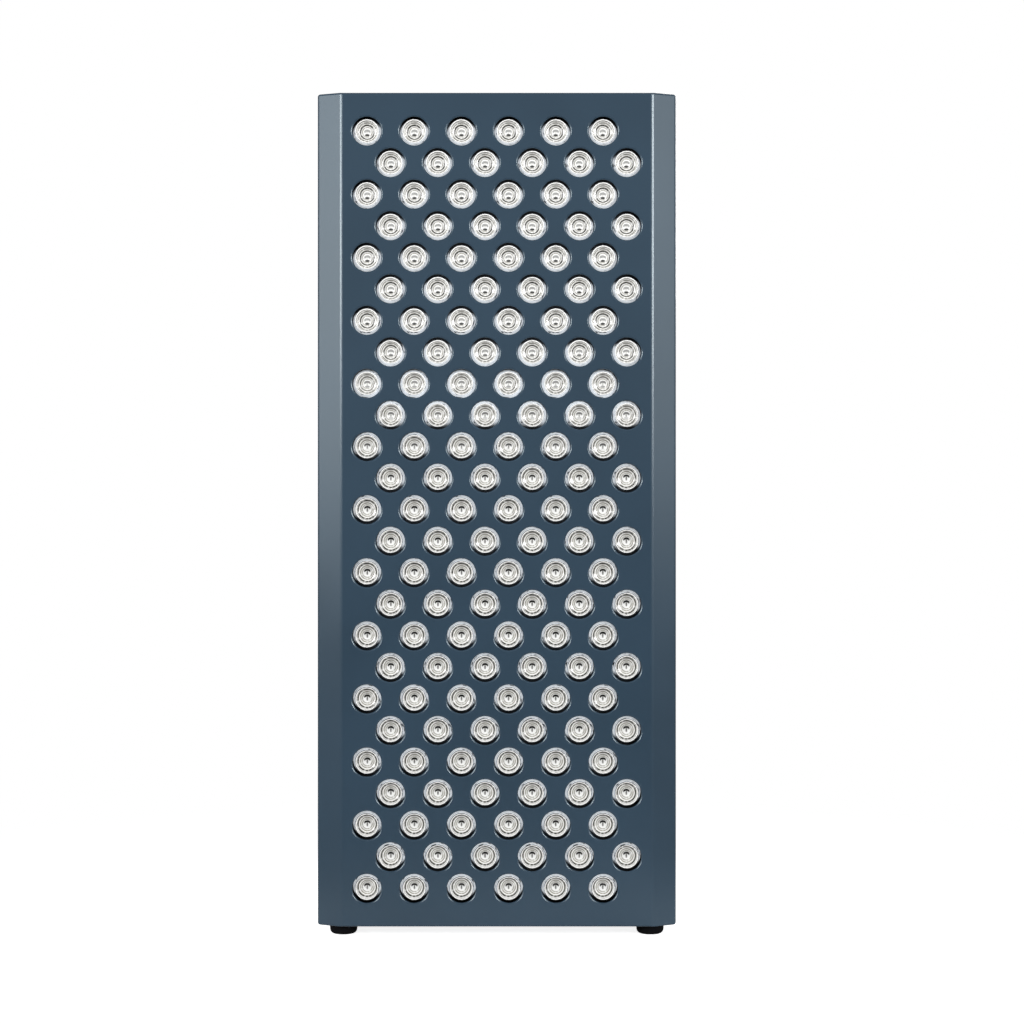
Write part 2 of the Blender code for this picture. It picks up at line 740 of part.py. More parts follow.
def power_inlet():
    """A socket with a deep cavity, chamfered at its upper corners, and three contact pins."""
    inlet = socket_body("power_inlet", INLET_SIDE)
    rim = BODY_DEPTH + SEAT_GAP + BEZEL_THICKNESS
    floor = rim - CAVITY_DEPTH
    loop = rectangle(CAVITY_WIDTH, CAVITY_HEIGHT, chamfer=CAVITY_CHAMFER)
    corner = CAVITY_WIDTH / 2, -CAVITY_HEIGHT / 2
    upper = [point for point in loop if point[1] > 0 or abs(point[1]) < CAVITY_HEIGHT / 2 - CAVITY_CHAMFER]
    cavity = [(-corner[0], corner[1]), corner] + upper
    depth = CAVITY_DEPTH + OVERRUN
    hollow = solid_sheet("inlet_cavity", [cavity], depth)
    cut(inlet, place(hollow, at=(INLET_SIDE, floor + depth / 2, SOCKET_ROW), turn=(math.pi / 2, 0, 0)))
    slots = bmesh.new()
    back = BODY_DEPTH + SEAT_GAP - SOCKET_DEPTH
    for name, spot in pin_places().items():
        add_pin_box(slots, INLET_SIDE, spot, back - OVERRUN, floor + OVERRUN, SEAT_GAP)
        pin = bmesh.new()
        add_pin_box(pin, INLET_SIDE, spot, back - PIN_TAB, floor + PIN_LENGTH, 0)
        place(mesh_object(f"inlet_pin_{name}", pin), "brass")
    cut(inlet, place(mesh_object("inlet_pin_slots", slots)))


def link_outlet():
    """A socket with a closed face and three narrow slots for the pins of a link lead."""
    outlet = socket_body("link_outlet", OUTLET_SIDE)
    rim = BODY_DEPTH + SEAT_GAP + BEZEL_THICKNESS
    slots = bmesh.new()
    for spot in pin_places().values():
        add_pin_box(slots, OUTLET_SIDE, spot, rim - PIN_LENGTH, rim + OVERRUN, SEAT_GAP)
    cut(outlet, place(mesh_object("outlet_slots", slots)))


# Switches


def switch_housing(name, side):
    """A bezel and a body with an open well, and two bores in its side walls for the rocker's pivots."""
    wide, long = WELL_WIDTH + 2 * SWITCH_WALL, WELL_LENGTH + 2 * SWITCH_WALL
    bm = bmesh.new()
    face = BODY_DEPTH + SEAT_GAP
    low = (side - wide / 2 - SWITCH_RIM, face, SOCKET_ROW - long / 2 - SWITCH_RIM)
    high = (side + wide / 2 + SWITCH_RIM, face + SWITCH_BEZEL, SOCKET_ROW + long / 2 + SWITCH_RIM)
    add_box(bm, low, high)
    shoulder = (wide / (wide + 2 * SWITCH_RIM), 1, long / (long + 2 * SWITCH_RIM))
    neck = drawn_out(bm, face_towards(bm, (0, -1, 0)), (0, 0, 0), shoulder)
    drawn_out(bm, neck, (0, -SWITCH_DEPTH, 0))
    housing = place(mesh_object(name, bm), "black_plastic")
    well = bmesh.new()
    low = (side - WELL_WIDTH / 2, PIVOT_DEPTH - WELL_DEPTH, SOCKET_ROW - WELL_LENGTH / 2)
    high = (side + WELL_WIDTH / 2, face + SWITCH_BEZEL + OVERRUN, SOCKET_ROW + WELL_LENGTH / 2)
    add_box(well, low, high)
    cut(housing, place(mesh_object(name + "_well", well)))
    bores = bmesh.new()
    reach = WELL_WIDTH / 2 + SWITCH_WALL + SWITCH_RIM + OVERRUN
    ends = (side - reach, PIVOT_DEPTH, SOCKET_ROW), (side + reach, PIVOT_DEPTH, SOCKET_ROW)
    add_rod(bores, PIVOT_RADIUS + PIVOT_CLEARANCE, *ends, PIVOT_SIDES)
    cut(housing, place(mesh_object(name + "_bores", bores)))


def rocker(name, side, slot):
    """The rocker, drawn from its side with its pivot at the origin and tilted to off."""
    half = ROCKER_LENGTH / 2
    loop = [
        (-half, ROCKER_END),
        (-half, 0),
        (-half * ROCKER_FOOT_SHARE, -ROCKER_BELLY),
        (half * ROCKER_FOOT_SHARE, -ROCKER_BELLY),
        (half, 0),
        (half, ROCKER_END),
        (0, ROCKER_DIP),
    ]
    button = solid_sheet(name, [loop], ROCKER_WIDTH)
    tilt = bpy.data.objects.new(name + "_axis", None)
    tilt.parent = PANEL
    tilt.location = (side, PIVOT_DEPTH, SOCKET_ROW)
    tilt.rotation_euler = (-ROCKER_TILT, 0, 0)
    PARTS.objects.link(tilt)
    place(button, slot, turn=(0, -math.pi / 2, 0), parent=tilt)
    pivots = bmesh.new()
    reach = ROCKER_WIDTH / 2 + PIVOT_REACH
    add_rod(pivots, PIVOT_RADIUS, (-reach, 0, 0), (reach, 0, 0), PIVOT_SIDES)
    join(button, place(mesh_object(name + "_pivots", pivots), parent=tilt))


# Electrics inside


def led_driver(name, side):
    """A metal case drawn out of a base plate whose ends stick out as ears."""
    low = (side - DRIVER_WIDTH / 2, SEAT_BACK - DRIVER_PLATE, BODY_HEIGHT / 2 - DRIVER_LENGTH / 2)
    high = (side + DRIVER_WIDTH / 2, SEAT_BACK, BODY_HEIGHT / 2 + DRIVER_LENGTH / 2)
    bm = bmesh.new()
    add_box(bm, low, high)
    shoulder = (1 - 2 * DRIVER_LEDGE / DRIVER_WIDTH, 1, 1 - 2 * DRIVER_EAR / DRIVER_LENGTH)
    foot = drawn_out(bm, face_towards(bm, (0, -1, 0)), (0, 0, 0), shoulder)
    lid = drawn_out(bm, foot, (0, -DRIVER_CASE_HEIGHT, 0))
    bmesh.ops.bevel(bm, geom=list(lid.edges), offset=DRIVER_CHAMFER, segments=1, affect="EDGES")
    place(mesh_object(name, bm), "aluminium")


def terminal_block():
    """A moulded strip whose ways are walled off from each other by webs."""
    base, tall = BLOCK_BASE, BLOCK_DEPTH
    width = BLOCK_WAYS * WAY_WIDTH + (BLOCK_WAYS + 1) * WAY_WEB
    points = [(width / 2, 0), (width / 2, tall)]
    for i in reversed(range(BLOCK_WAYS)):
        left = -width / 2 + WAY_WEB + i * (WAY_WIDTH + WAY_WEB)
        points += [(left + WAY_WIDTH, tall), (left + WAY_WIDTH, base), (left, base), (left, tall)]
    points += [(-width / 2, tall), (-width / 2, 0)]
    block = sheet_object("terminal_block", [points], BLOCK_HEIGHT)
    place(block, "cream_plastic", at=(INLET_SIDE, SEAT_BACK, SOCKET_ROW + BLOCK_RISE), turn=(math.pi, 0, 0))


def route(stops):
    """Points of a smooth curve through the stops, straight at both ends, with a point more between the others."""
    points = stops[:2]
    for before, start, end, after in zip(stops, stops[1:], stops[2:], stops[3:]):
        middle = (start + end) * 9 / 16 - (before + after) / 16
        points += [middle, end]
    return [*points, stops[-1]]


def cable(name, stops):
    curve = bpy.data.curves.new(name, "CURVE")
    curve.dimensions = "3D"
    curve.bevel_depth = CABLE_RADIUS
    curve.bevel_resolution = CABLE_STEPS
    curve.use_fill_caps = True
    points = route([Vector(stop) for stop in stops])
    spline = curve.splines.new("POLY")
    spline.points.add(len(points) - 1)
    for point, at in zip(spline.points, points):
        point.co = (*at, 1)
    place(bpy.data.objects.new(name, curve), "black_plastic")


def driver_cable(name, sign):
    """From the upper end of a driver, round the edge of the heat sink, to the edge of a board."""
    top = BODY_HEIGHT / 2 + DRIVER_LENGTH / 2 - DRIVER_EAR + CABLE_END_GAP
    middle = SEAT_BACK - DRIVER_PLATE - DRIVER_CASE_HEIGHT / 2
    channel = (SINK_WIDTH + BODY_WIDTH) / 4
    board = SINK_FRONT - SEAT_GAP - CABLE_RADIUS
    rise = DRIVER_LEDGE + CABLE_RADIUS
    stops = [
        (sign * DRIVER_SIDE, middle, top),
        (sign * DRIVER_SIDE, middle, top + 3 * rise),
        (sign * channel, (2 * middle + board) / 3, top + 6 * rise),
        (sign * (SINK_WIDTH / 2 + rise), board, top + 7 * rise),
        (sign * (BOARD_WIDTH / 2 + CABLE_END_GAP), board, top + 7 * rise),
    ]
    cable(name, stops)


def mains_cable():
    """From the inlet's line contact up to the terminal block."""
    tab = BODY_DEPTH + SEAT_GAP - SOCKET_DEPTH - PIN_TAB / 2
    x = INLET_SIDE + PIN_SPACING
    low = SOCKET_ROW - EARTH_RISE / 2 + PIN_HEIGHT / 2 + CABLE_END_GAP
    high = SOCKET_ROW + BLOCK_RISE - BLOCK_HEIGHT / 2 - CABLE_END_GAP
    clear = SEAT_BACK - BLOCK_BASE / 2
    stops = [
        (x, tab, low),
        (x, tab, low + 6 * CABLE_RADIUS),
        ((x + INLET_SIDE) / 2, (tab + clear) / 2, (low + high) / 2),
        (INLET_SIDE, clear, high - 3 * CABLE_RADIUS),
        (INLET_SIDE, clear, high),
    ]
    cable("mains_cable", stops)


def hanging_nuts():
    for name, side in (("left", -NUT_SIDE), ("right", NUT_SIDE)):
        loops = [circle(NUT_RADIUS, SCREW_SIDES), circle(NUT_BORE, NUT_SIDES)]
        nut = sheet_object(f"hanging_nut_{name}", loops, NUT_HEIGHT)
        height = BODY_HEIGHT - SHEET - SEAT_GAP - NUT_HEIGHT / 2
        place(nut, "steel", at=(side, BODY_DEPTH / 2, height))


front_cover()
rear_cover()
for board_number in range(1, ROW_COUNT // ROWS_PER_BOARD + 1):
    led_board(board_number)
heat_sinks()
standoffs()
fans()
cover_screws()
feet()
power_inlet()
link_outlet()
switch_housing("red_switch_housing", RED_SWITCH_SIDE)
rocker("red_switch_rocker", RED_SWITCH_SIDE, "red_plastic")
switch_housing("infrared_switch_housing", INFRARED_SWITCH_SIDE)
rocker("infrared_switch_rocker", INFRARED_SWITCH_SIDE, "black_plastic")
led_driver("led_driver_red", -DRIVER_SIDE)
led_driver("led_driver_infrared", DRIVER_SIDE)
terminal_block()
mains_cable()
driver_cable("red_cable", -1)
driver_cable("infrared_cable", 1)
hanging_nuts()
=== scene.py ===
"""The looks of the light therapy panel: sheet metal, lenses, fans, sockets and feet round its solids.

Everything is in metres. The panel stands on z = 0, its lit front faces -Y and x runs to the right of it.
"""
import math

import bmesh
import bpy
from mathutils import Matrix, Vector

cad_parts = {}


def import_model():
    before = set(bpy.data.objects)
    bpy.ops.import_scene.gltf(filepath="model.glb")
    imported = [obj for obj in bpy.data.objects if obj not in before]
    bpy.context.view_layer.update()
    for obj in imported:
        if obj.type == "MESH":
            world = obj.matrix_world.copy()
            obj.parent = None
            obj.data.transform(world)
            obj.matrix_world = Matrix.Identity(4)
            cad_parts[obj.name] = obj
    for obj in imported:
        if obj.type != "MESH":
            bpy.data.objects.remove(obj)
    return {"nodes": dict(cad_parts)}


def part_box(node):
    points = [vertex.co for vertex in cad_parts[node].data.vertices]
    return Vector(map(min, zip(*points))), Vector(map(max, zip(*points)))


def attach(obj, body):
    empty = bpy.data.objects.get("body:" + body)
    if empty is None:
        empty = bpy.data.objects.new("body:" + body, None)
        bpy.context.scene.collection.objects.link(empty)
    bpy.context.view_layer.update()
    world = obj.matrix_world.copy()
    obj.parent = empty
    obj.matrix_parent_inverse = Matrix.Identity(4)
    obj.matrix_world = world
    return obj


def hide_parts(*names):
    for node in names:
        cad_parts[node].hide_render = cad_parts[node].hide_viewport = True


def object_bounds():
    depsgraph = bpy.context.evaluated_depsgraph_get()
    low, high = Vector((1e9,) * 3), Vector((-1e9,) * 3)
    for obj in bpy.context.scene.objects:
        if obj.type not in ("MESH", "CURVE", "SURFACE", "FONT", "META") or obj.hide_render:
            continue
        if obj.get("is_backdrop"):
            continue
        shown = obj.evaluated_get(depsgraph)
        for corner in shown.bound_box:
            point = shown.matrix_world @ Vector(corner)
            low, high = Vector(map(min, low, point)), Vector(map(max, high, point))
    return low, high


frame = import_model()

CAD_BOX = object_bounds()

# Housing
TRAY_LOW, TRAY_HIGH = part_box("front_cover")
COVER_LOW, COVER_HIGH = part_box("rear_cover")
FRONT = TRAY_LOW.y
BASE = TRAY_LOW.z
TOP = TRAY_HIGH.z
HALF_WIDTH = TRAY_HIGH.x
SHEET = 0.0012
BAND_WIDTH = 0.0205
BAND_DEPTH = 0.010
FLANGE_WIDTH = 0.014
FOLD = 0.0018
FOLD_SEGMENTS = 4
FOLDED_FROM = math.radians(10)

# How far a cutter runs past what it cuts, how far two fused forms overlap, and what keeps solids apart
OVERRUN = SHEET
OVERLAP = 0.0001
GAP = 0.0003

# Pattern of holes and lenses
ROWS = 25
COLUMNS = 6
BOARDS = 5
ROWS_PER_BOARD = ROWS // BOARDS
COLUMN_PITCH = 0.0394
ROW_PITCH = 0.0263
TOP_MARGIN = 0.0319
FIRST_COLUMN = -0.10835

# Radius of a hole and its depth behind the front, from the straight wall out to the flat sheet
HOLE_PROFILE = [
    (0.0120, 0.0013),
    (0.0121, 0.00085),
    (0.0123, 0.00055),
    (0.0126, 0.00032),
    (0.0131, 0.00008),
    (0.0134, 0.0),
]
HOLE_SIDES = 32

# Lenses and their boards. Each step of the dish goes so far in and so far down.
LENS_RADIUS = 0.0100
LENS_BASE_RADIUS = 0.0121
LENS_SIDES = 20
LENS_RECESS = 0.0015
LENS_EDGE = 0.0004
LENS_STEPS = [(0.0005, 0), (0.0010, 0.0060), (0.0023, 0.0008), (0.0003, 0.0006)]
BOARD_RECESS = 0.0135
BOARD_EDGE = 0.0002

# Rear cover
COVER_CORNER = 0.003
COVER_EDGE = 0.00025
CORNER_SEGMENTS = 5
GRILLE_RADIUS = 0.042
GRILLE_SLOTS = 8
SLOT_WIDTH = 0.006
SLOT_PITCH = 0.0102
ROUND_END_SHARE = 0.49
VENTS = 4
VENT_LENGTH = 0.060
VENT_WIDTH = 0.005
VENT_PITCH = 0.011
VENT_SIDE = 0.095
VENT_DROP = 0.077

# Fans. Depths are from where they sit behind the rear cover.
FAN_NUMBERS = {"lower": 1, "upper": 2}
FAN_SEAT = COVER_LOW.y - GAP
FAN_CORNER = 0.004
BORE_RADIUS = 0.044
FAN_HOLE_SPOT = 0.04125
FAN_HOLE_RADIUS = 0.0022
FAN_EDGE = 0.0005
HUB_PLATE_RADIUS = 0.020
HUB_PLATE_EDGE = 0.0004
ARM_WIDTH = 0.005
ARM_THICKNESS = 0.003
ARM_BITE = 0.001
ARMS = 4
ROTOR_RADIUS = 0.019
ROTOR_RIM = 0.002
ROTOR_FRONT_DEPTH = 0.0235
ROTOR_REAR_DEPTH = 0.0039
SHAFT_RADIUS = 0.0015
BLADES = 7
BLADE_ROOT = 0.0182
BLADE_TIP = 0.0425
BLADE_CHORD = 0.024
BLADE_THICKNESS = 0.0014
BLADE_DEPTH = 0.0137
BLADE_TWIST = math.radians(20)
BLADE_PITCH = math.radians(27)
BLADE_CUTS = 9

# Cover screws
SCREWS = 6
HEAD_RADIUS = 0.003
HEAD_HEIGHT = 0.0018
HEAD_DOME_SHARE = 0.55
HEAD_TOP_SHARE = 0.25
RECESS_DEPTH_SHARE = 0.6
RECESS_LENGTH = 0.0038
RECESS_WIDTH = 0.0007
SHANK_RADIUS = 0.0014

# Sockets and switches, with widths and heights in pairs
REAR_SEAT = COVER_HIGH.y + GAP
SOCKET_RISE = 0.060
SOCKET_HEIGHT = BASE + SOCKET_RISE
INLET_SIDE = 0.080
OUTLET_SIDE = 0.036
SOCKET_WINDOW = (0.0278, 0.0206)
SOCKET_WINDOW_CORNER = 0.001
BEZEL = (0.031, 0.025)
BEZEL_CORNER = 0.002
BEZEL_EDGE = 0.0006
BEZEL_THICKNESS = 0.0025
SOCKET_BODY = (0.0272, 0.0200)
SOCKET_BODY_CORNER = 0.0008
SOCKET_BODY_DEPTH = 0.020
CAVITY = (0.0240, 0.0164)
CAVITY_DEPTH = 0.0155
KEY_CORNER = 0.004
CAVITY_CORNER = 0.001
SOCKET_EDGE = 0.0003
GROOVE = 0.0005
PIN_SPOTS = {"line": (0.007, -0.002), "neutral": (-0.007, -0.002), "earth": (0, 0.002)}
PIN_SLOT = (0.0026, 0.0046)
PIN_SLOT_CORNER = 0.0005
PIN_SLOT_DEPTH = 0.012
PIN_EDGE = 0.0005
SWITCH_SIDES = {"red": -0.022, "infrared": -0.058}
SWITCH_WINDOW = (0.0150, 0.0224)
SWITCH_WINDOW_CORNER = 0.0008
SWITCH_FRAME = (0.0180, 0.0254)
SWITCH_FRAME_CORNER = 0.001
SWITCH_FRAME_EDGE = 0.0005
SWITCH_FRAME_THICKNESS = 0.0018
SWITCH_BODY = (0.0144, 0.0218)
SWITCH_BODY_CORNER = 0.0005
SWITCH_BODY_DEPTH = 0.014
SWITCH_EDGE = 0.0002
WELL = (0.0112, 0.0186)
WELL_CORNER = 0.0004
WELL_DEPTH = 0.008
ROCKER_LENGTH = 0.0170
ROCKER_WIDTH = 0.0100
ROCKER_RISE = 0.0035
ROCKER_DIP = 0.0014
ROCKER_ROOT = 0.0038
ROCKER_EDGE = 0.0004
ROCKER_TILT = math.radians(8)
PIVOT_RADIUS = 0.0011
PIVOT_REACH = 0.0012

# Feet
FOOT_TAPER = 0.95
FOOT_EDGE = 0.0034
FOOT_RECESS_RADIUS = 0.0042
FOOT_RECESS_DEPTH = 0.0035

# Studio. Distances on the floor are from the panel's middle.
FLOOR_SIZE = 40
FLOOR_TONE_NEAR = (0.90, 0.90, 0.90)
FLOOR_TONE_FAR = (0.32, 0.32, 0.32)
FLOOR_TONE_CHANGE = (0.22, 0.50)
FLOOR_SHINE_NEAR = 0.85
FLOOR_SHINE_CHANGE = (0.3, 0.8)
STUDIO_GREY = 0.36
WHITE_LEVEL = 1.0
KEY_AIM = (0, 0, 0.58)
FILL_AIM = (0, 0, 0.44)
REAR_AIM = (0, 0, 0.35)
CAMERA_DISTANCE = 1.95
SEEN_WIDTH = 0.8529
PICTURE_MIDDLE = 0.3539
SENSOR_WIDTH = 36
SHIFT_RIGHT = 0.0148
SHIFT_UP = -0.03


# Materials


class Value:
    """What a node gives, with the usual arithmetic for numbers."""

    def __init__(self, finish, socket):
        self.finish = finish
        self.socket = socket

    def beside(self, output):
        """Another output of the same node."""
        return Value(self.finish, self.socket.node.outputs[output])

    def math(self, operation, *others):
        return self.finish.node("Math", {"operation": operation}, [self, *others])

    def __add__(self, other):
        return self.math("ADD", other)

    __radd__ = __add__

    def __mul__(self, other):
        return self.math("MULTIPLY", other)

    def __sub__(self, other):
        return self.math("SUBTRACT", other)

    def __rsub__(self, other):
        return self * -1 + other

    def __pow__(self, other):
        return self.math("POWER", other)

    def __abs__(self):
        return self.math("ABSOLUTE")

    def rising(self, low, high):
        """0 below low, 1 above high and smooth between them."""
        sockets = {"Value": self, "From Min": low, "From Max": high}
        return self.finish.node("MapRange", {"interpolation_type": "SMOOTHSTEP"}, sockets)


class Finish:
    """A material under construction: its nodes and its main shader."""

    def __init__(self, name, **sockets):
        self.material = bpy.data.materials.new(name)
        self.material.use_nodes = True
        self.tree = self.material.node_tree
        self.shader = self.tree.nodes["Principled BSDF"]
        self.set(**sockets)

    def set(self, **sockets):
        for name, value in sockets.items():
            self.feed(self.shader.inputs[name.replace("_", " ")], value)

    def feed(self, socket, value):
        if isinstance(value, Value):
            self.tree.links.new(value.socket, socket)
        elif socket.type == "RGBA" and len(value) == 3:
            socket.default_value = (*value, 1.0)
        else:
            socket.default_value = value

    def node(self, kind, settings=None, inputs=None, output=0):
        """Adds a node. Its settings come first, then the values or links of its sockets."""
        made = self.tree.nodes.new("ShaderNode" + kind)
        for name, value in (settings or {}).items():
            if name == "stops":
                self.set_stops(made.color_ramp, value)
            else:
                setattr(made, name, value)
        pairs = inputs.items() if isinstance(inputs, dict) else enumerate(inputs or [])
        for name, value in pairs:
            self.feed(made.inputs[name], value)
        return Value(self, made.outputs[output])

    @staticmethod
    def set_stops(ramp, stops):
        while len(ramp.elements) < len(stops):
            ramp.elements.new(1.0)
        for element, (place, colour) in zip(ramp.elements, stops):
            element.position = place
            element.color = (*colour, 1.0)

    def place(self):
        return self.node("TexCoord", output="Object")

    def height(self):
        return self.node("SeparateXYZ", {}, [self.place()], output=2)

    def on_lens(self):
        return self.node("UVMap", {"uv_map": "lens"})

    def noise(self, scale, detail, stretch=(1, 1, 1)):
        spot = self.node("VectorMath", {"operation": "MULTIPLY"}, [self.place(), stretch])
        sockets = {"Vector": spot, "Scale": scale, "Detail": detail, "Roughness": 0.55}
        return self.node("TexNoise", {}, sockets)

    def blend(self, share, first, second):
        """From the first colour to the second as the share goes from 0 to 1.

        A Mix node has its colours at inputs 6 and 7, and the mixed colour at output 2.
        """
        return self.node("Mix", {"data_type": "RGBA"}, {0: share, 6: first, 7: second}, output=2)

    def relief(self, height, distance, strength):
        sockets = {"Height": height, "Distance": distance, "Strength": strength}
        self.set(Normal=self.node("Bump", {}, sockets))
        return self.material


def highest(first, *others):
    """The highest of some values at each point."""
    for other in others:
        first = first.math("MAXIMUM", other)
    return first


def shaded(colour, factor):
    return tuple(part * factor for part in colour)


def satin_paint():
    """Powder coat: a fine orange peel, hardly any change of colour, and a slow change of sheen."""
    slate = (0.0240, 0.0490, 0.0780)
    paint = Finish("slate_satin_paint", Specular_IOR_Level=0.7, Specular_Tint=(0.86, 0.96, 1.0))
    cloud = paint.noise(scale=9.0, detail=2.0)
    grain = paint.noise(scale=2600.0, detail=2.0)
    peel = paint.noise(scale=1100.0, detail=2.0)
    tone = paint.blend(cloud.rising(0.3, 0.7), shaded(slate, 0.94), shaded(slate, 1.07))
    specks = grain.rising(0.35, 0.75) * 0.18
    paint.set(Base_Color=paint.blend(specks, tone, shaded(slate, 1.35)), Roughness=0.21 + cloud * 0.06)
    return paint.relief(peel + grain * 0.3, distance=0.00003, strength=0.35)


def board_mask():
    """Black solder mask over the copper of the LED boards."""
    mask = Finish("black_solder_mask", Specular_IOR_Level=0.4)
    weave = mask.noise(scale=500.0, detail=3.0)
    colour = mask.blend(weave.rising(0.3, 0.7), (0.006, 0.006, 0.007), (0.012, 0.012, 0.013))
    mask.set(Base_Color=colour, Roughness=0.45 + weave * 0.15)
    return mask.relief(weave, distance=0.00003, strength=0.4)


# What a lens shows, drawn opaque: its colours, and its rings, each with how far out it is and its colour.
# The rings sit at the lens's steps and are painted reflections and painted shade of the clear plastic,
# with one set for the upper rows and one for the lower rows.
WHITE, PALE, WARM = (0.96, 0.96, 0.95), (0.64, 0.64, 0.62), (0.32, 0.30, 0.24)
GREY, DARK = (0.10, 0.10, 0.09), (0.010, 0.010, 0.008)
CENTRE_PAINTED_RINGS = [(0.00, PALE), (0.22, WHITE), (0.34, WHITE), (0.40, WARM), (0.44, PALE)]
UPPER_ROW_PAINTED_RINGS = [
    (0.49, WHITE),
    (0.545, GREY),
    (0.56, DARK),
    (0.61, DARK),
    (0.63, WARM),
    (0.67, WHITE),
    (0.725, PALE),
    (0.755, DARK),
    (0.785, WARM),
    (0.81, WHITE),
    (0.85, PALE),
    (0.88, GREY),
    (0.90, PALE),
    (0.92, WHITE),
    (0.97, WHITE),
    (1.00, WARM),
]
LOWER_ROW_PAINTED_RINGS = [
    (0.50, WHITE),
    (0.545, WARM),
    (0.58, WARM),
    (0.62, WHITE),
    (0.67, WHITE),
    (0.72, WARM),
    (0.745, DARK),
    (0.785, DARK),
    (0.80, GREY),
    (0.83, WHITE),
    (0.87, PALE),
    (0.90, WHITE),
    (0.945, WHITE),
    (0.965, DARK),
    (1.00, DARK),
]


def across_lens(spot):
    """The x and z of a spot on its lens, from -1 to 1, and how far out it is, with the rim at 1."""
    x = spot.finish.node("SeparateXYZ", {}, [spot])
    z = x.beside(1)
    return x, z, (x * x + z * z) ** 0.5


def blot(x, z, middle, squash, inner, outer):
    """1 inside a wide round spot about a height of the lens, 0 outside it."""
    above = z - middle
    return 1 - ((x * x * squash + above * above) ** 0.5).rising(inner, outer)


def lens_plastic():
    """Clear lens over a pale emitter, drawn opaque with its light painted on. Its painted rings, painted
    glints and dark marks change from the upper to the lower rows, and it glows with painted light that is
    dimmer in the lower rows.
    """
    clear = Finish("stepped_lens", Specular_IOR_Level=0.6, Emission_Strength=0.17)
    spot = clear.on_lens()
    x, z, radius = across_lens(spot)
    high = clear.height().rising(0.36, 0.52)
    # Painted reflections and shade in rings: one set for the upper rows, one for the lower rows.
    upper_row_painted_rings = clear.node("ValToRGB", {"stops": CENTRE_PAINTED_RINGS + UPPER_ROW_PAINTED_RINGS}, [radius])
    lower_row_painted_rings = clear.node("ValToRGB", {"stops": CENTRE_PAINTED_RINGS + LOWER_ROW_PAINTED_RINGS}, [radius])
    rings = clear.blend(high, lower_row_painted_rings, upper_row_painted_rings)
    # Painted glints: white patches over the rings, facet by facet. The same noise also varies the
    # roughness and the bumps.
    facets = clear.node("Math", {"operation": "ARCTAN2"}, [z, x])
    sockets = {"Vector": spot, "W": facets * 0.8, "Scale": 2.6}
    painted_glints_and_bumps = clear.node("TexNoise", {"noise_dimensions": "4D"}, sockets)
    rings = clear.blend(painted_glints_and_bumps.rising(0.50, 0.68) * 0.7, rings, WHITE)
    # Dark marks near the middle: the emitter's chips seen through the lens, painted on its front like a
    # reflection. The lower mark is darkest in the upper rows and the upper one in the lower rows.
    lift = 0.13 - high * 0.08
    cap = blot(x, z, lift, squash=0.5, inner=0.16, outer=0.22)
    hollow = blot(x, z, lift - 0.15, squash=0.5, inner=0.12, outer=0.18)
    umbrella = cap * (1 - hollow) * (1.0 - high * 0.4)
    stem = (1 - abs(x).rising(0.03, 0.09)) * (1 - abs(z + 0.02).rising(0.10, 0.24)) * (0.8 - high * 0.8)
    lower_mark = blot(x, z, -0.24, squash=0.28, inner=0.08, outer=0.13) * high * 0.95
    colour = clear.blend(highest(umbrella, lower_mark, stem), rings, DARK)
    # Painted glow, though the lens is no lamp: full in the upper rows and dimmer lower down as painted
    # shade.
    painted_glow = clear.blend(high * 0.8 + 0.2, (0, 0, 0), colour)
    clear.set(Base_Color=colour, Emission_Color=painted_glow, Roughness=0.14 + painted_glints_and_bumps * 0.08)
    return clear.relief(painted_glints_and_bumps, distance=0.0004, strength=0.5)


def lens_skirt():
    """The flared side of a lens, with its light painted on. It has painted shade above in the upper rows
    and below in the lower ones, silvery painted highlights in streaks on the other side, and a painted
    glow.
    """
    painted_light_skirt = Finish("lens_skirt", Specular_IOR_Level=0.8, Emission_Strength=0.52)
    x, z, radius = across_lens(painted_light_skirt.on_lens())
    height = painted_light_skirt.height()
    high = height.rising(0.40, 0.51)
    # Painted light on the side towards the middle rows, painted shade on the far side.
    lit = (z * (1 - high * 2)).rising(-0.75, -0.20)
    arcs = painted_light_skirt.node("CombineXYZ", {}, [radius * 11, x * 1.6, z * 1.6 + height * 40])
    painted_streaks_and_bumps = painted_light_skirt.node("TexNoise", {}, {"Vector": arcs, "Scale": 1.0, "Detail": 2.0})
    painted_highlight = lit * painted_streaks_and_bumps.rising(0.30, 0.46) * (radius + high * 0.1).rising(0.98, 1.03)
    # From painted shade to a painted silvery reflection, which is also the painted glow.
    colour = painted_light_skirt.blend(painted_highlight, (0.012, 0.014, 0.017), (0.90, 0.95, 1.0))
    painted_light_skirt.set(Base_Color=colour, Emission_Color=colour, Roughness=0.16 + painted_streaks_and_bumps * 0.12)
    return painted_light_skirt.relief(painted_streaks_and_bumps, distance=0.0003, strength=0.5)


def extruded_aluminium():
    metal = Finish("extruded_aluminium", Metallic=1.0)
    lines = metal.noise(scale=700.0, detail=2.0, stretch=(1, 1, 0.02))
    colour = metal.blend(lines, (0.50, 0.51, 0.53), (0.70, 0.71, 0.72))
    metal.set(Base_Color=colour, Roughness=0.28 + lines * 0.16)
    return metal.relief(lines, distance=0.00002, strength=0.5)


def zinc_steel():
    metal = Finish("zinc_plated_steel", Metallic=1.0)
    cloud = metal.noise(scale=350.0, detail=3.0)
    colour = metal.blend(cloud, (0.46, 0.46, 0.47), (0.66, 0.66, 0.66))
    metal.set(Base_Color=colour, Roughness=0.24 + cloud * 0.14)
    return metal.relief(metal.noise(scale=2400.0, detail=2.0), distance=0.00002, strength=0.3)


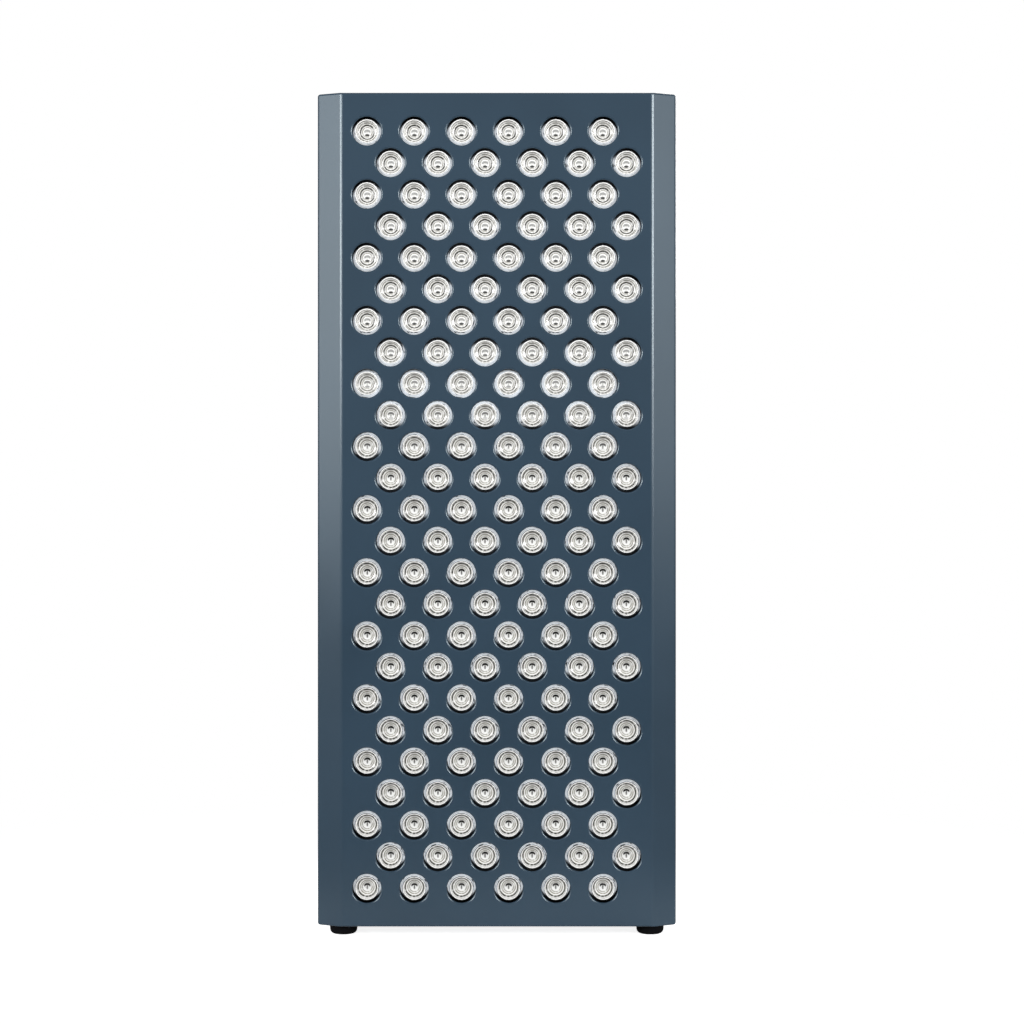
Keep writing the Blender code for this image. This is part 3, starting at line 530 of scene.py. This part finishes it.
def brass():
    metal = Finish("brass", Metallic=1.0)
    cloud = metal.noise(scale=500.0, detail=3.0)
    colour = metal.blend(cloud, (0.52, 0.36, 0.14), (0.68, 0.50, 0.22))
    metal.set(Base_Color=colour, Roughness=0.24 + cloud * 0.12)
    return metal.material


def moulded_plastic(name, colour, roughness, grain=1500.0, depth=0.00003, gloss=0.5):
    """Moulded plastic with a fine spark-eroded texture."""
    plastic = Finish(name, Specular_IOR_Level=gloss)
    texture = plastic.noise(scale=grain, detail=3.0)
    cloud = plastic.noise(scale=60.0, detail=2.0)
    plastic.set(Base_Color=plastic.blend(cloud, shaded(colour, 0.9), shaded(colour, 1.12)))
    plastic.set(Roughness=texture * 0.12 + (roughness - 0.06))
    return plastic.relief(texture, distance=depth, strength=0.5)


PAINT = satin_paint()
MASK = board_mask()
LENS = lens_plastic()
SKIRT = lens_skirt()
ALUMINIUM = extruded_aluminium()
ZINC = zinc_steel()
BRASS = brass()
BLACK_PLASTIC = moulded_plastic("black_plastic", (0.017, 0.017, 0.019), roughness=0.45)
FAN_PLASTIC = moulded_plastic("fan_plastic", (0.021, 0.021, 0.022), roughness=0.38, grain=900.0)
RUBBER = moulded_plastic(
    "black_rubber", (0.004, 0.004, 0.005), roughness=0.72, grain=1900.0, depth=0.00006, gloss=0.08
)
RED_PLASTIC = moulded_plastic(
    "red_plastic", (0.45, 0.022, 0.018), roughness=0.30, grain=2200.0, depth=0.00001
)
CREAM_PLASTIC = moulded_plastic("cream_plastic", (0.70, 0.66, 0.56), roughness=0.48)
CABLE_SLEEVE = moulded_plastic("cable_sleeve", (0.014, 0.014, 0.015), roughness=0.5, grain=700.0)


# Modelling

# How closely a face or an edge has to agree with a direction, where 1 is fully
FACING_LEAST = 0.9
ALONG_LEAST = 0.99


def deselect():
    if bpy.context.mode != "OBJECT":
        bpy.ops.object.mode_set(mode="OBJECT")
    bpy.ops.object.select_all(action="DESELECT")


def pick(piece):
    deselect()
    piece.select_set(True)
    bpy.context.view_layer.objects.active = piece


def named(name):
    """The primitive just added, with its place in its mesh."""
    made = bpy.context.object
    made.name = made.data.name = name
    bpy.ops.object.transform_apply(location=True, rotation=True, scale=True)
    return made


def remove(piece):
    bpy.data.objects.remove(piece, do_unlink=True)


def centre(node):
    low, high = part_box(node)
    return (low + high) / 2


def block(name, low, high):
    low, high = Vector(low), Vector(high)
    deselect()
    bpy.ops.mesh.primitive_cube_add(size=1, location=(low + high) / 2, scale=high - low)
    return named(name)


def drum(name, radius, start, end, sides, axis="Y", at=(0, 0)):
    """A cylinder about an axis through a point, from start to end along it."""
    turn = {"X": (0, math.pi / 2, 0), "Y": (math.pi / 2, 0, 0), "Z": (0, 0, 0)}[axis]
    spot = list(at)
    spot.insert("XYZ".index(axis), (start + end) / 2)
    deselect()
    bpy.ops.mesh.primitive_cylinder_add(
        vertices=sides, radius=radius, depth=end - start, location=spot, rotation=turn
    )
    return named(name)


def choose(piece, kind, test):
    """Edit mode with the faces or edges selected for which a test holds."""
    pick(piece)
    bpy.ops.object.mode_set(mode="EDIT")
    bpy.ops.mesh.select_mode(type=kind)
    bpy.ops.mesh.select_all(action="DESELECT")
    form = bmesh.from_edit_mesh(piece.data)
    form.normal_update()
    for item in {"FACE": form.faces, "EDGE": form.edges}[kind]:
        if test(item):
            item.select_set(True)
    form.select_flush_mode()
    bmesh.update_edit_mesh(piece.data)


def done():
    bpy.ops.object.mode_set(mode="OBJECT")


def facing(x, y, z):
    """A test for faces that look along a direction."""
    way = Vector((x, y, z))
    return lambda face: face.normal.dot(way) > FACING_LEAST


def along(axis):
    """A test for edges that run along an axis."""
    index = "XYZ".index(axis)
    return lambda edge: abs((edge.verts[0].co - edge.verts[1].co).normalized()[index]) > ALONG_LEAST


def beyond(axis, place):
    """A test for edges that lie wholly beyond a place on an axis."""
    index = "XYZ".index(axis)
    return lambda edge: all(vert.co[index] > place for vert in edge.verts)


def short_of(axis, place):
    """A test for edges that lie wholly short of a place on an axis."""
    index = "XYZ".index(axis)
    return lambda edge: all(vert.co[index] < place for vert in edge.verts)


def both(one_test, other_test):
    """A test that asks for two others."""
    return lambda edge: one_test(edge) and other_test(edge)


def rounded(piece, kind, test, width, segments):
    """Bevels the edges that pass a test, or those round the faces that pass it."""
    choose(piece, kind, test)
    bpy.ops.mesh.bevel(offset=width, segments=segments, affect="EDGES")
    done()
    return piece


def pull(move, scale):
    """Extrudes the selected faces, moves them and scales them about the origin."""
    bpy.ops.mesh.extrude_region_move(TRANSFORM_OT_translate={"value": move})
    bpy.ops.transform.resize(value=scale, center_override=(0, 0, 0))


def modified(piece, kind, **settings):
    pick(piece)
    modifier = piece.modifiers.new(kind.title(), kind)
    for name, value in settings.items():
        setattr(modifier, name, value)
    bpy.ops.object.modifier_apply(modifier=modifier.name)
    return piece


def cut(piece, tool):
    modified(piece, "BOOLEAN", operation="DIFFERENCE", solver="EXACT", object=tool)
    remove(tool)


def fused(piece, other):
    modified(piece, "BOOLEAN", operation="UNION", solver="EXACT", object=other)
    remove(other)


def copied(piece, name, place):
    """A copy with its own mesh, moved or turned inside that mesh."""
    made = piece.copy()
    made.data = piece.data.copy()
    made.name = made.data.name = name
    bpy.context.scene.collection.objects.link(made)
    made.data.transform(place)
    return made


def moved(x, y, z):
    return Matrix.Translation((x, y, z))


def turned(angle, axis, about):
    """A turn about an axis through a point."""
    about = Vector(about)
    return Matrix.Translation(about) @ Matrix.Rotation(angle, 4, axis) @ Matrix.Translation(-about)


def joined(name, pieces):
    deselect()
    for piece in pieces:
        piece.select_set(True)
    bpy.context.view_layer.objects.active = pieces[0]
    bpy.ops.object.join()
    pieces[0].name = pieces[0].data.name = name
    return pieces[0]


def softened(piece, width, segments=2, angle=35):
    limits = {"limit_method": "ANGLE", "angle_limit": math.radians(angle)}
    return modified(piece, "BEVEL", width=width, segments=segments, **limits)


def smooth(piece, angle=35):
    pick(piece)
    bpy.ops.object.shade_smooth_by_angle(angle=math.radians(angle))
    return piece


def flat_faces_kept(piece):
    """Smooth edges, with the large faces left flat right up to them."""
    smooth(piece, angle=40)
    modified(piece, "WEIGHTED_NORMAL", keep_sharp=True, weight=100)


def settled(piece, body, slot, *nodes):
    """Gives a piece its body, and hides the nodes that it stands for. The slot is not used."""
    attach(piece, body)
    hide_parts(*nodes)


def dressed(piece, finish, body, slot, *nodes):
    """Gives a piece one finish, and settles it."""
    piece.data.materials.clear()
    piece.data.materials.append(finish)
    settled(piece, body, slot, *nodes)


# Front cover


def places(rows):
    """The x and z of each hole in some rows. Every second row is half a pitch to the right."""
    for row in rows:
        start = FIRST_COLUMN + (row % 2) * COLUMN_PITCH / 2
        for column in range(COLUMNS):
            yield start + column * COLUMN_PITCH, TOP - TOP_MARGIN - row * ROW_PITCH


def punch():
    """One cutter of the front sheet: straight at the rear, and rounded open towards the front."""
    radius, depth = HOLE_PROFILE[0]
    tool = drum("punch", radius, FRONT + depth, FRONT + 3 * SHEET, HOLE_SIDES)
    choose(tool, "FACE", facing(0, -1, 0))
    outside = (HOLE_PROFILE[-1][0] + SHEET, -SHEET / 2)
    for wider, nearer in [*HOLE_PROFILE[1:], outside]:
        pull((0, nearer - depth, 0), (wider / radius, 1, wider / radius))
        radius, depth = wider, nearer
    done()
    return tool


def folded(edge):
    return len(edge.link_faces) == 2 and edge.calc_face_angle() > FOLDED_FROM


def front_cover():
    """The tray: drawn in at the front for the slanted bands, open at the rear inside its flange."""
    tray = block("front_sheet", (-HALF_WIDTH, FRONT + BAND_DEPTH, BASE), TRAY_HIGH)
    choose(tray, "FACE", facing(0, -1, 0))
    pull((0, -BAND_DEPTH, 0), (1 - BAND_WIDTH / HALF_WIDTH, 1, 1))
    done()
    choose(tray, "FACE", facing(0, 1, 0))
    bpy.ops.mesh.inset(thickness=FLANGE_WIDTH)
    bpy.ops.mesh.delete(type="ONLY_FACE")
    done()
    rounded(tray, "EDGE", folded, FOLD, FOLD_SEGMENTS)
    modified(tray, "SOLIDIFY", thickness=SHEET, offset=-1, use_even_offset=True)
    tool = punch()
    punches = [copied(tool, "punch_copy", moved(x, 0, z)) for x, z in places(range(ROWS))]
    remove(tool)
    cut(tray, joined("punches", punches))
    flat_faces_kept(tray)
    dressed(tray, PAINT, "housing", "slate_paint", "front_cover")


# LED boards


def lens():
    """A lens on a hole's axis: a lip round a stepped dish, and a skirt that flares to the board."""
    made = drum("lens", LENS_RADIUS, FRONT + LENS_RECESS + LENS_EDGE, FRONT + BOARD_RECESS, LENS_SIDES)
    choose(made, "FACE", facing(0, 1, 0))
    flare = LENS_BASE_RADIUS / LENS_RADIUS
    bpy.ops.transform.resize(value=(flare, 1, flare), center_override=(0, 0, 0))
    bpy.ops.mesh.delete(type="ONLY_FACE")
    done()
    choose(made, "FACE", facing(0, -1, 0))
    for inset, push in [(LENS_EDGE, -LENS_EDGE), *LENS_STEPS]:
        bpy.ops.mesh.inset(thickness=inset)
        bpy.ops.transform.translate(value=(0, push, 0))
    done()
    made.data.materials.append(LENS)
    made.data.materials.append(SKIRT)
    chart = made.data.uv_layers.new(name="lens")
    for face in made.data.polygons:
        away = math.hypot(face.center.x, face.center.z)
        face.material_index = 1 if away > LENS_RADIUS else 0
        for corner in face.loop_indices:
            spot = made.data.vertices[made.data.loops[corner].vertex_index].co
            chart.data[corner].uv = (spot.x / LENS_RADIUS, spot.z / LENS_RADIUS)
    return smooth(made, angle=40)


def led_boards():
    master = lens()
    for number in range(1, BOARDS + 1):
        low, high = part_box(f"led_board_{number}")
        board = block(f"board_{number}_plate", (low.x, FRONT + BOARD_RECESS, low.z), high)
        softened(board, BOARD_EDGE, segments=1)
        smooth(board)
        dressed(board, MASK, "housing", "black_plastic", f"led_board_{number}")
        rows = range((number - 1) * ROWS_PER_BOARD, number * ROWS_PER_BOARD)
        copies = [copied(master, "lens_copy", moved(x, 0, z)) for x, z in places(rows)]
        group = joined(f"board_{number}_lenses", copies)
        settled(group, "housing", "lens_clear", f"led_board_{number}")
    remove(master)


# Rear cover


def bar(name, middle, size, low, high, growth=0):
    """A block along Y about a middle, from low to high. The middle and the size are in x and z."""
    half_width, half_height = size[0] / 2 + growth, size[1] / 2 + growth
    return block(
        name,
        (middle[0] - half_width, low, middle[1] - half_height),
        (middle[0] + half_width, high, middle[1] + half_height),
    )


def rounded_along_y(piece, corner):
    return rounded(piece, "EDGE", along("Y"), corner, CORNER_SEGMENTS)


def window(name, middle, size, corner, low=COVER_LOW.y - OVERRUN, high=COVER_HIGH.y + OVERRUN):
    """A bar with rounded corners. Unless told otherwise, it goes right through the rear cover."""
    return rounded_along_y(bar(name, middle, size, low, high), corner)


def grille(height):
    """Upright slots with round ends that fill the fan's circle."""
    for number in range(GRILLE_SLOTS):
        x = (number - (GRILLE_SLOTS - 1) / 2) * SLOT_PITCH
        half = math.sqrt(GRILLE_RADIUS**2 - (abs(x) + SLOT_WIDTH / 2) ** 2)
        yield window("slot", (x, height), (SLOT_WIDTH, 2 * half), SLOT_WIDTH * ROUND_END_SHARE)


def rear_cover():
    sheet = rounded_along_y(block("rear_sheet", COVER_LOW, COVER_HIGH), COVER_CORNER)
    windows = []
    for number in FAN_NUMBERS.values():
        windows += grille(centre(f"fan_frame_{number}").z)
    for side in (-VENT_SIDE, VENT_SIDE):
        for number in range(VENTS):
            spot = (side, TOP - VENT_DROP - number * VENT_PITCH)
            windows.append(window("vent", spot, (VENT_LENGTH, VENT_WIDTH), VENT_WIDTH * ROUND_END_SHARE))
    for side in (INLET_SIDE, OUTLET_SIDE):
        windows.append(window("socket_window", (side, SOCKET_HEIGHT), SOCKET_WINDOW, SOCKET_WINDOW_CORNER))
    for side in SWITCH_SIDES.values():
        windows.append(window("switch_window", (side, SOCKET_HEIGHT), SWITCH_WINDOW, SWITCH_WINDOW_CORNER))
    cut(sheet, joined("windows", windows))
    softened(sheet, COVER_EDGE, angle=50)
    flat_faces_kept(sheet)
    dressed(sheet, PAINT, "housing", "slate_paint", "rear_cover")


# Fans


def fan_frame(number):
    """A square frame round a round bore, a screw hole in each corner, and a hub held by four arms."""
    low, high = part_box(f"fan_frame_{number}")
    at = centre(f"fan_frame_{number}")
    through = (low.y - OVERRUN, high.y + OVERRUN)
    square = rounded_along_y(block(f"fan_{number}_frame", low, high), FAN_CORNER)
    tools = [drum("bore", BORE_RADIUS, *through, sides=96, at=(at.x, at.z))]
    for x in (at.x - FAN_HOLE_SPOT, at.x + FAN_HOLE_SPOT):
        for z in (at.z - FAN_HOLE_SPOT, at.z + FAN_HOLE_SPOT):
            tools.append(drum("screw_hole", FAN_HOLE_RADIUS, *through, sides=24, at=(x, z)))
    cut(square, joined("bores", tools))
    softened(square, FAN_EDGE)
    front = high.y - ARM_THICKNESS
    hub = softened(drum("hub", HUB_PLATE_RADIUS, front, high.y, sides=64, at=(at.x, at.z)), HUB_PLATE_EDGE)
    tip = at.z + BORE_RADIUS + ARM_BITE
    arm = block("arm", (at.x - ARM_WIDTH / 2, front, at.z), (at.x + ARM_WIDTH / 2, high.y, tip))
    softened(arm, FAN_EDGE)
    turns = [2 * math.pi * (i + 0.5) / ARMS for i in range(ARMS)]
    arms = [copied(arm, "arm_copy", turned(turn, "Y", at)) for turn in turns]
    remove(arm)
    joined(f"fan_{number}_frame", [square, hub, *arms])
    flat_faces_kept(square)
    dressed(square, FAN_PLASTIC, "housing", "black_plastic", f"fan_frame_{number}")


def blade(at):
    """One blade above the hub, twisted from a steep root to a flatter tip."""
    x, y = BLADE_THICKNESS / 2, BLADE_CHORD / 2
    made = block("blade", (-x, -y, BLADE_ROOT), (x, y, BLADE_TIP))
    choose(made, "EDGE", along("Z"))
    bpy.ops.mesh.subdivide(number_cuts=BLADE_CUTS)
    done()
    softened(made, FAN_EDGE, angle=60)
    modified(made, "SIMPLE_DEFORM", deform_method="TWIST", deform_axis="Z", angle=BLADE_TWIST)
    made.data.transform(Matrix.Rotation(BLADE_PITCH, 4, "Z"))
    made.data.transform(moved(at.x, FAN_SEAT - BLADE_DEPTH, at.z))
    return smooth(made, angle=40)


def fan_rotor(place, number):
    """A hub with a rounded rim on its shaft, and its twisted blades."""
    at = centre(f"fan_rotor_{number}")
    front, rear = FAN_SEAT - ROTOR_FRONT_DEPTH, FAN_SEAT - ROTOR_REAR_DEPTH
    shaft_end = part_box(f"fan_rotor_{number}")[1].y
    hub = drum("hub", ROTOR_RADIUS, front, rear, sides=72, at=(at.x, at.z))
    rounded(hub, "FACE", facing(0, -1, 0), ROTOR_RIM, segments=4)
    shaft = drum("shaft", SHAFT_RADIUS, rear, shaft_end, sides=24, at=(at.x, at.z))
    one = blade(at)
    blades = [copied(one, "blade_copy", turned(2 * math.pi * i / BLADES, "Y", at)) for i in range(BLADES)]
    remove(one)
    rotor = joined(f"fan_{number}_rotor", [hub, shaft, *blades])
    smooth(rotor, angle=40)
    dressed(rotor, FAN_PLASTIC, f"{place}_fan_rotor", "black_plastic", f"fan_rotor_{number}")


# Screws


def screw_head(name, node):
    """A pan head with a domed edge and a cross recess, and its shank. It looks along Y."""
    low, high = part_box(node)
    at = centre(node)
    seat = high.y - HEAD_HEIGHT
    head = drum(name, HEAD_RADIUS, seat, high.y, sides=40, at=(at.x, at.z))
    rim = high.y - HEAD_HEIGHT * HEAD_TOP_SHARE
    rounded(head, "EDGE", beyond("Y", rim), HEAD_HEIGHT * HEAD_DOME_SHARE, segments=4)
    bottom = high.y - HEAD_HEIGHT * RECESS_DEPTH_SHARE
    for size in ((RECESS_LENGTH, RECESS_WIDTH), (RECESS_WIDTH, RECESS_LENGTH)):
        cut(head, bar("recess", (at.x, at.z), size, bottom, high.y + OVERRUN))
    shank = drum("shank", SHANK_RADIUS, low.y, seat, sides=20, at=(at.x, at.z))
    joined(name, [head, shank])
    smooth(head)
    dressed(head, ZINC, "housing", "steel", node)


# Sockets


def socket_body(name, side):
    """A bezel with rounded edges, fused with the body behind it."""
    at = (side, SOCKET_HEIGHT)
    bezel = window(name, at, BEZEL, BEZEL_CORNER, REAR_SEAT, REAR_SEAT + BEZEL_THICKNESS)
    rounded(bezel, "FACE", facing(0, 1, 0), BEZEL_EDGE, segments=3)
    inner, outer = REAR_SEAT - SOCKET_BODY_DEPTH, REAR_SEAT + OVERLAP
    fused(bezel, window("socket_body", at, SOCKET_BODY, SOCKET_BODY_CORNER, inner, outer))
    return bezel


def cavity(name, side, low, high, growth=0):
    """The inlet's opening: rounded at its lower corners and slanted at its upper ones."""
    made = bar(name, (side, SOCKET_HEIGHT), CAVITY, low, high, growth)
    rounded(made, "EDGE", both(along("Y"), beyond("Z", SOCKET_HEIGHT)), KEY_CORNER, segments=1)
    return rounded(made, "EDGE", both(along("Y"), short_of("Z", SOCKET_HEIGHT)), CAVITY_CORNER, segments=4)


def power_inlet():
    """A socket with a deep keyed cavity, and its three contacts."""
    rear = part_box("power_inlet")[1].y
    inlet = socket_body("power_inlet_socket", INLET_SIDE)
    cut(inlet, cavity("cavity", INLET_SIDE, rear - CAVITY_DEPTH, rear + OVERRUN))
    softened(inlet, SOCKET_EDGE, angle=50)
    flat_faces_kept(inlet)
    dressed(inlet, BLACK_PLASTIC, "housing", "black_plastic", "power_inlet")
    for name in PIN_SPOTS:
        node = f"inlet_pin_{name}"
        pin = softened(block(f"contact_{name}", *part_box(node)), PIN_EDGE)
        smooth(pin)
        dressed(pin, BRASS, "housing", "brass", node)


def link_outlet():
    """A closed face with a groove round it and three narrow slots."""
    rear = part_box("link_outlet")[1].y
    outlet = socket_body("link_outlet_socket", OUTLET_SIDE)
    ring = cavity("groove", OUTLET_SIDE, rear - GROOVE, rear + OVERRUN)
    cut(ring, cavity("island", OUTLET_SIDE, rear - OVERRUN, rear + 2 * OVERRUN, growth=-GROOVE))
    cut(outlet, ring)
    for x, z in PIN_SPOTS.values():
        spot = (OUTLET_SIDE + x, SOCKET_HEIGHT + z)
        low, high = rear - PIN_SLOT_DEPTH, rear + OVERRUN
        cut(outlet, window("pin_slot", spot, PIN_SLOT, PIN_SLOT_CORNER, low, high))
    smooth(outlet)
    dressed(outlet, BLACK_PLASTIC, "housing", "black_plastic", "link_outlet")


# Switches


def switch(colour, finish, slot):
    at = (SWITCH_SIDES[colour], SOCKET_HEIGHT)
    rim = REAR_SEAT + SWITCH_FRAME_THICKNESS
    housing = window(f"{colour}_switch_frame", at, SWITCH_FRAME, SWITCH_FRAME_CORNER, REAR_SEAT, rim)
    rounded(housing, "FACE", facing(0, 1, 0), SWITCH_FRAME_EDGE, segments=3)
    inner, outer = REAR_SEAT - SWITCH_BODY_DEPTH, REAR_SEAT + OVERLAP
    fused(housing, window("switch_body", at, SWITCH_BODY, SWITCH_BODY_CORNER, inner, outer))
    cut(housing, window("well", at, WELL, WELL_CORNER, REAR_SEAT - WELL_DEPTH, rim + OVERRUN))
    softened(housing, SWITCH_EDGE, angle=50)
    flat_faces_kept(housing)
    dressed(housing, BLACK_PLASTIC, "housing", "black_plastic", f"{colour}_switch_housing")
    rocker(colour, finish, slot)


def rocker(colour, finish, slot):
    """A rocker with a hollowed top, tilted on its pivots to off."""
    x, y, z = SWITCH_SIDES[colour], REAR_SEAT, SOCKET_HEIGHT
    half_length, half_width = ROCKER_LENGTH / 2, ROCKER_WIDTH / 2
    button = block(
        f"{colour}_rocker_button",
        (x - half_width, y - ROCKER_ROOT, z - half_length),
        (x + half_width, y + ROCKER_RISE, z + half_length),
    )
    rounded(button, "EDGE", both(along("X"), short_of("Y", y)), ROCKER_ROOT, segments=3)
    sag = ROCKER_RISE - ROCKER_DIP
    curve = (half_length**2 + sag**2) / (2 * sag)
    above = (y + ROCKER_DIP + curve, z)
    cut(button, drum("hollow", curve, x - ROCKER_WIDTH, x + ROCKER_WIDTH, sides=160, axis="X", at=above))
    softened(button, ROCKER_EDGE, segments=3, angle=40)
    reach = half_width + PIVOT_REACH
    pivots = drum("pivots", PIVOT_RADIUS, x - reach, x + reach, sides=20, axis="X", at=(y, z))
    joined(f"{colour}_rocker_button", [button, pivots])
    button.data.transform(turned(-ROCKER_TILT, "X", (x, y, z)))
    smooth(button)
    dressed(button, finish, f"{colour}_rocker", slot, f"{colour}_switch_rocker")


# Feet


def feet():
    """Slightly tapered rubber feet with a rounded lower edge and a recess for the screw."""
    for name in ("front_left", "front_right", "rear_left", "rear_right"):
        low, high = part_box(f"foot_{name}")
        at = ((low.x + high.x) / 2, (low.y + high.y) / 2)
        foot = drum(f"rubber_foot_{name}", (high.x - low.x) / 2, low.z, high.z, sides=48, axis="Z", at=at)
        choose(foot, "FACE", facing(0, 0, -1))
        bpy.ops.transform.resize(value=(FOOT_TAPER, FOOT_TAPER, 1), center_override=(*at, 0))
        done()
        rounded(foot, "EDGE", short_of("Z", (low.z + high.z) / 2), FOOT_EDGE, segments=5)
        depth = (low.z - OVERRUN, low.z + FOOT_RECESS_DEPTH)
        cut(foot, drum("recess", FOOT_RECESS_RADIUS, *depth, sides=32, axis="Z", at=at))
        smooth(foot, angle=40)
        dressed(foot, RUBBER, "housing", "black_rubber", f"foot_{name}")


# Carried-over pieces

CARRIED = {
    "heat_sink": ALUMINIUM,
    "standoff": BRASS,
    "foot_screw": ZINC,
    "led_driver": ALUMINIUM,
    "terminal_block": CREAM_PLASTIC,
    "mains_cable": CABLE_SLEEVE,
    "red_cable": CABLE_SLEEVE,
    "infrared_cable": CABLE_SLEEVE,
    "hanging_nut": ZINC,
}


def carried_over():
    for name, node in frame["nodes"].items():
        for start, finish in CARRIED.items():
            if name.startswith(start) and not node.hide_render:
                node.data.materials.clear()
                node.data.materials.append(finish)


# Studio


def floor():
    """White for the camera, darker only where the panel keeps the light off it."""
    deselect()
    bpy.ops.mesh.primitive_plane_add(size=FLOOR_SIZE, location=(0, 0, 0))
    ground = named("studio_floor")
    white = Finish("studio_floor", Roughness=0.9, Specular_IOR_Level=0.0)
    distance = white.node("VectorMath", {"operation": "LENGTH"}, [white.place()], output="Value")
    tone_change = distance.rising(*FLOOR_TONE_CHANGE)
    white.set(Base_Color=white.blend(tone_change, FLOOR_TONE_NEAR, FLOOR_TONE_FAR))
    lit = Value(white, white.shader.outputs[0])
    near_shine, far_shine = (
        white.node("Emission", {}, {"Color": (1.0, 1.0, 1.0, 1.0), "Strength": strength})
        for strength in (FLOOR_SHINE_NEAR, WHITE_LEVEL)
    )
    near = white.node("AddShader", {}, [lit, near_shine])
    shown = white.node("MixShader", {}, [distance.rising(*FLOOR_SHINE_CHANGE), near, far_shine])
    path = white.node("LightPath", output="Is Camera Ray")
    seen = highest(path, path.beside("Is Transmission Ray"))
    chosen = white.node("MixShader", {}, [seen, lit, shown])
    white.tree.links.new(chosen.socket, white.tree.nodes["Material Output"].inputs["Surface"])
    ground.data.materials.append(white.material)
    ground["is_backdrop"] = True


def world():
    """White behind the panel, and a plain grey studio round it."""
    made = bpy.data.worlds.new("studio")
    bpy.context.scene.world = made
    made.use_nodes = True
    tree = made.node_tree
    tree.nodes.clear()
    path = tree.nodes.new("ShaderNodeLightPath")
    seen = tree.nodes.new("ShaderNodeMath")
    seen.operation = "MAXIMUM"
    tree.links.new(path.outputs["Is Camera Ray"], seen.inputs[0])
    tree.links.new(path.outputs["Is Transmission Ray"], seen.inputs[1])
    mix = tree.nodes.new("ShaderNodeMixShader")
    tree.links.new(seen.outputs[0], mix.inputs[0])
    for index, level in ((1, STUDIO_GREY), (2, WHITE_LEVEL)):
        light = tree.nodes.new("ShaderNodeBackground")
        light.inputs["Color"].default_value = (1.0, 1.0, 1.0, 1.0)
        light.inputs["Strength"].default_value = level
        tree.links.new(light.outputs[0], mix.inputs[index])
    output = tree.nodes.new("ShaderNodeOutputWorld")
    tree.links.new(mix.outputs[0], output.inputs["Surface"])


def softbox(name, at, aim, size, power, spread=180):
    """A rectangular lamp. A small spread keeps its beam on what it is aimed at."""
    light = bpy.data.lights.new(name, "AREA")
    light.shape = "RECTANGLE"
    light.size, light.size_y = size
    light.energy = power
    light.spread = math.radians(spread)
    lamp = bpy.data.objects.new(name, light)
    bpy.context.scene.collection.objects.link(lamp)
    lamp.location = at
    lamp.rotation_mode = "QUATERNION"
    lamp.rotation_quaternion = (Vector(aim) - Vector(at)).to_track_quat("-Z", "Y")


def lights():
    """Two keys mirrored by the slanted bands, two fills from the sides, and one lamp for the rear."""
    softbox("key_left", at=(-1.44, -1.75, 0.94), aim=KEY_AIM, size=(0.70, 0.80), power=3.7, spread=70)
    softbox("key_right", at=(1.46, -1.75, 0.94), aim=KEY_AIM, size=(0.60, 0.80), power=4.2, spread=70)
    softbox("fill_left", at=(-2.02, -1.06, 0.86), aim=FILL_AIM, size=(1.00, 1.20), power=12)
    softbox("fill_right", at=(2.02, -1.06, 0.86), aim=FILL_AIM, size=(1.00, 1.20), power=5.6)
    softbox("rear", at=(0.9, 2.3, 1.3), aim=REAR_AIM, size=(1.20, 1.20), power=30)


def camera():
    """Straight at the front. The middle of the picture stays put when the shift changes."""
    data = bpy.data.cameras.new("camera")
    data.sensor_width = SENSOR_WIDTH
    data.lens = SENSOR_WIDTH * CAMERA_DISTANCE / SEEN_WIDTH
    data.shift_x = SHIFT_RIGHT
    data.shift_y = SHIFT_UP
    eye = bpy.data.objects.new("camera", data)
    bpy.context.scene.collection.objects.link(eye)
    eye.location = (0, FRONT - CAMERA_DISTANCE, PICTURE_MIDDLE - SHIFT_UP * SEEN_WIDTH)
    eye.rotation_euler = (math.pi / 2, 0, 0)
    bpy.context.scene.camera = eye


camera()
world()
lights()
floor()
front_cover()
led_boards()
rear_cover()
for fan_place, fan_number in FAN_NUMBERS.items():
    fan_frame(fan_number)
    fan_rotor(fan_place, fan_number)
for screw_number in range(1, SCREWS + 1):
    screw_head(f"pan_head_{screw_number}", f"cover_screw_{screw_number}")
power_inlet()
link_outlet()
switch("red", RED_PLASTIC, "red_plastic")
switch("infrared", BLACK_PLASTIC, "black_plastic")
feet()
carried_over()
bpy.context.scene.view_settings.view_transform = "Standard"

boxes = {"cad": CAD_BOX, "visual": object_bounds()}
{name: [list(corner) for corner in box] for name, box in boxes.items()}
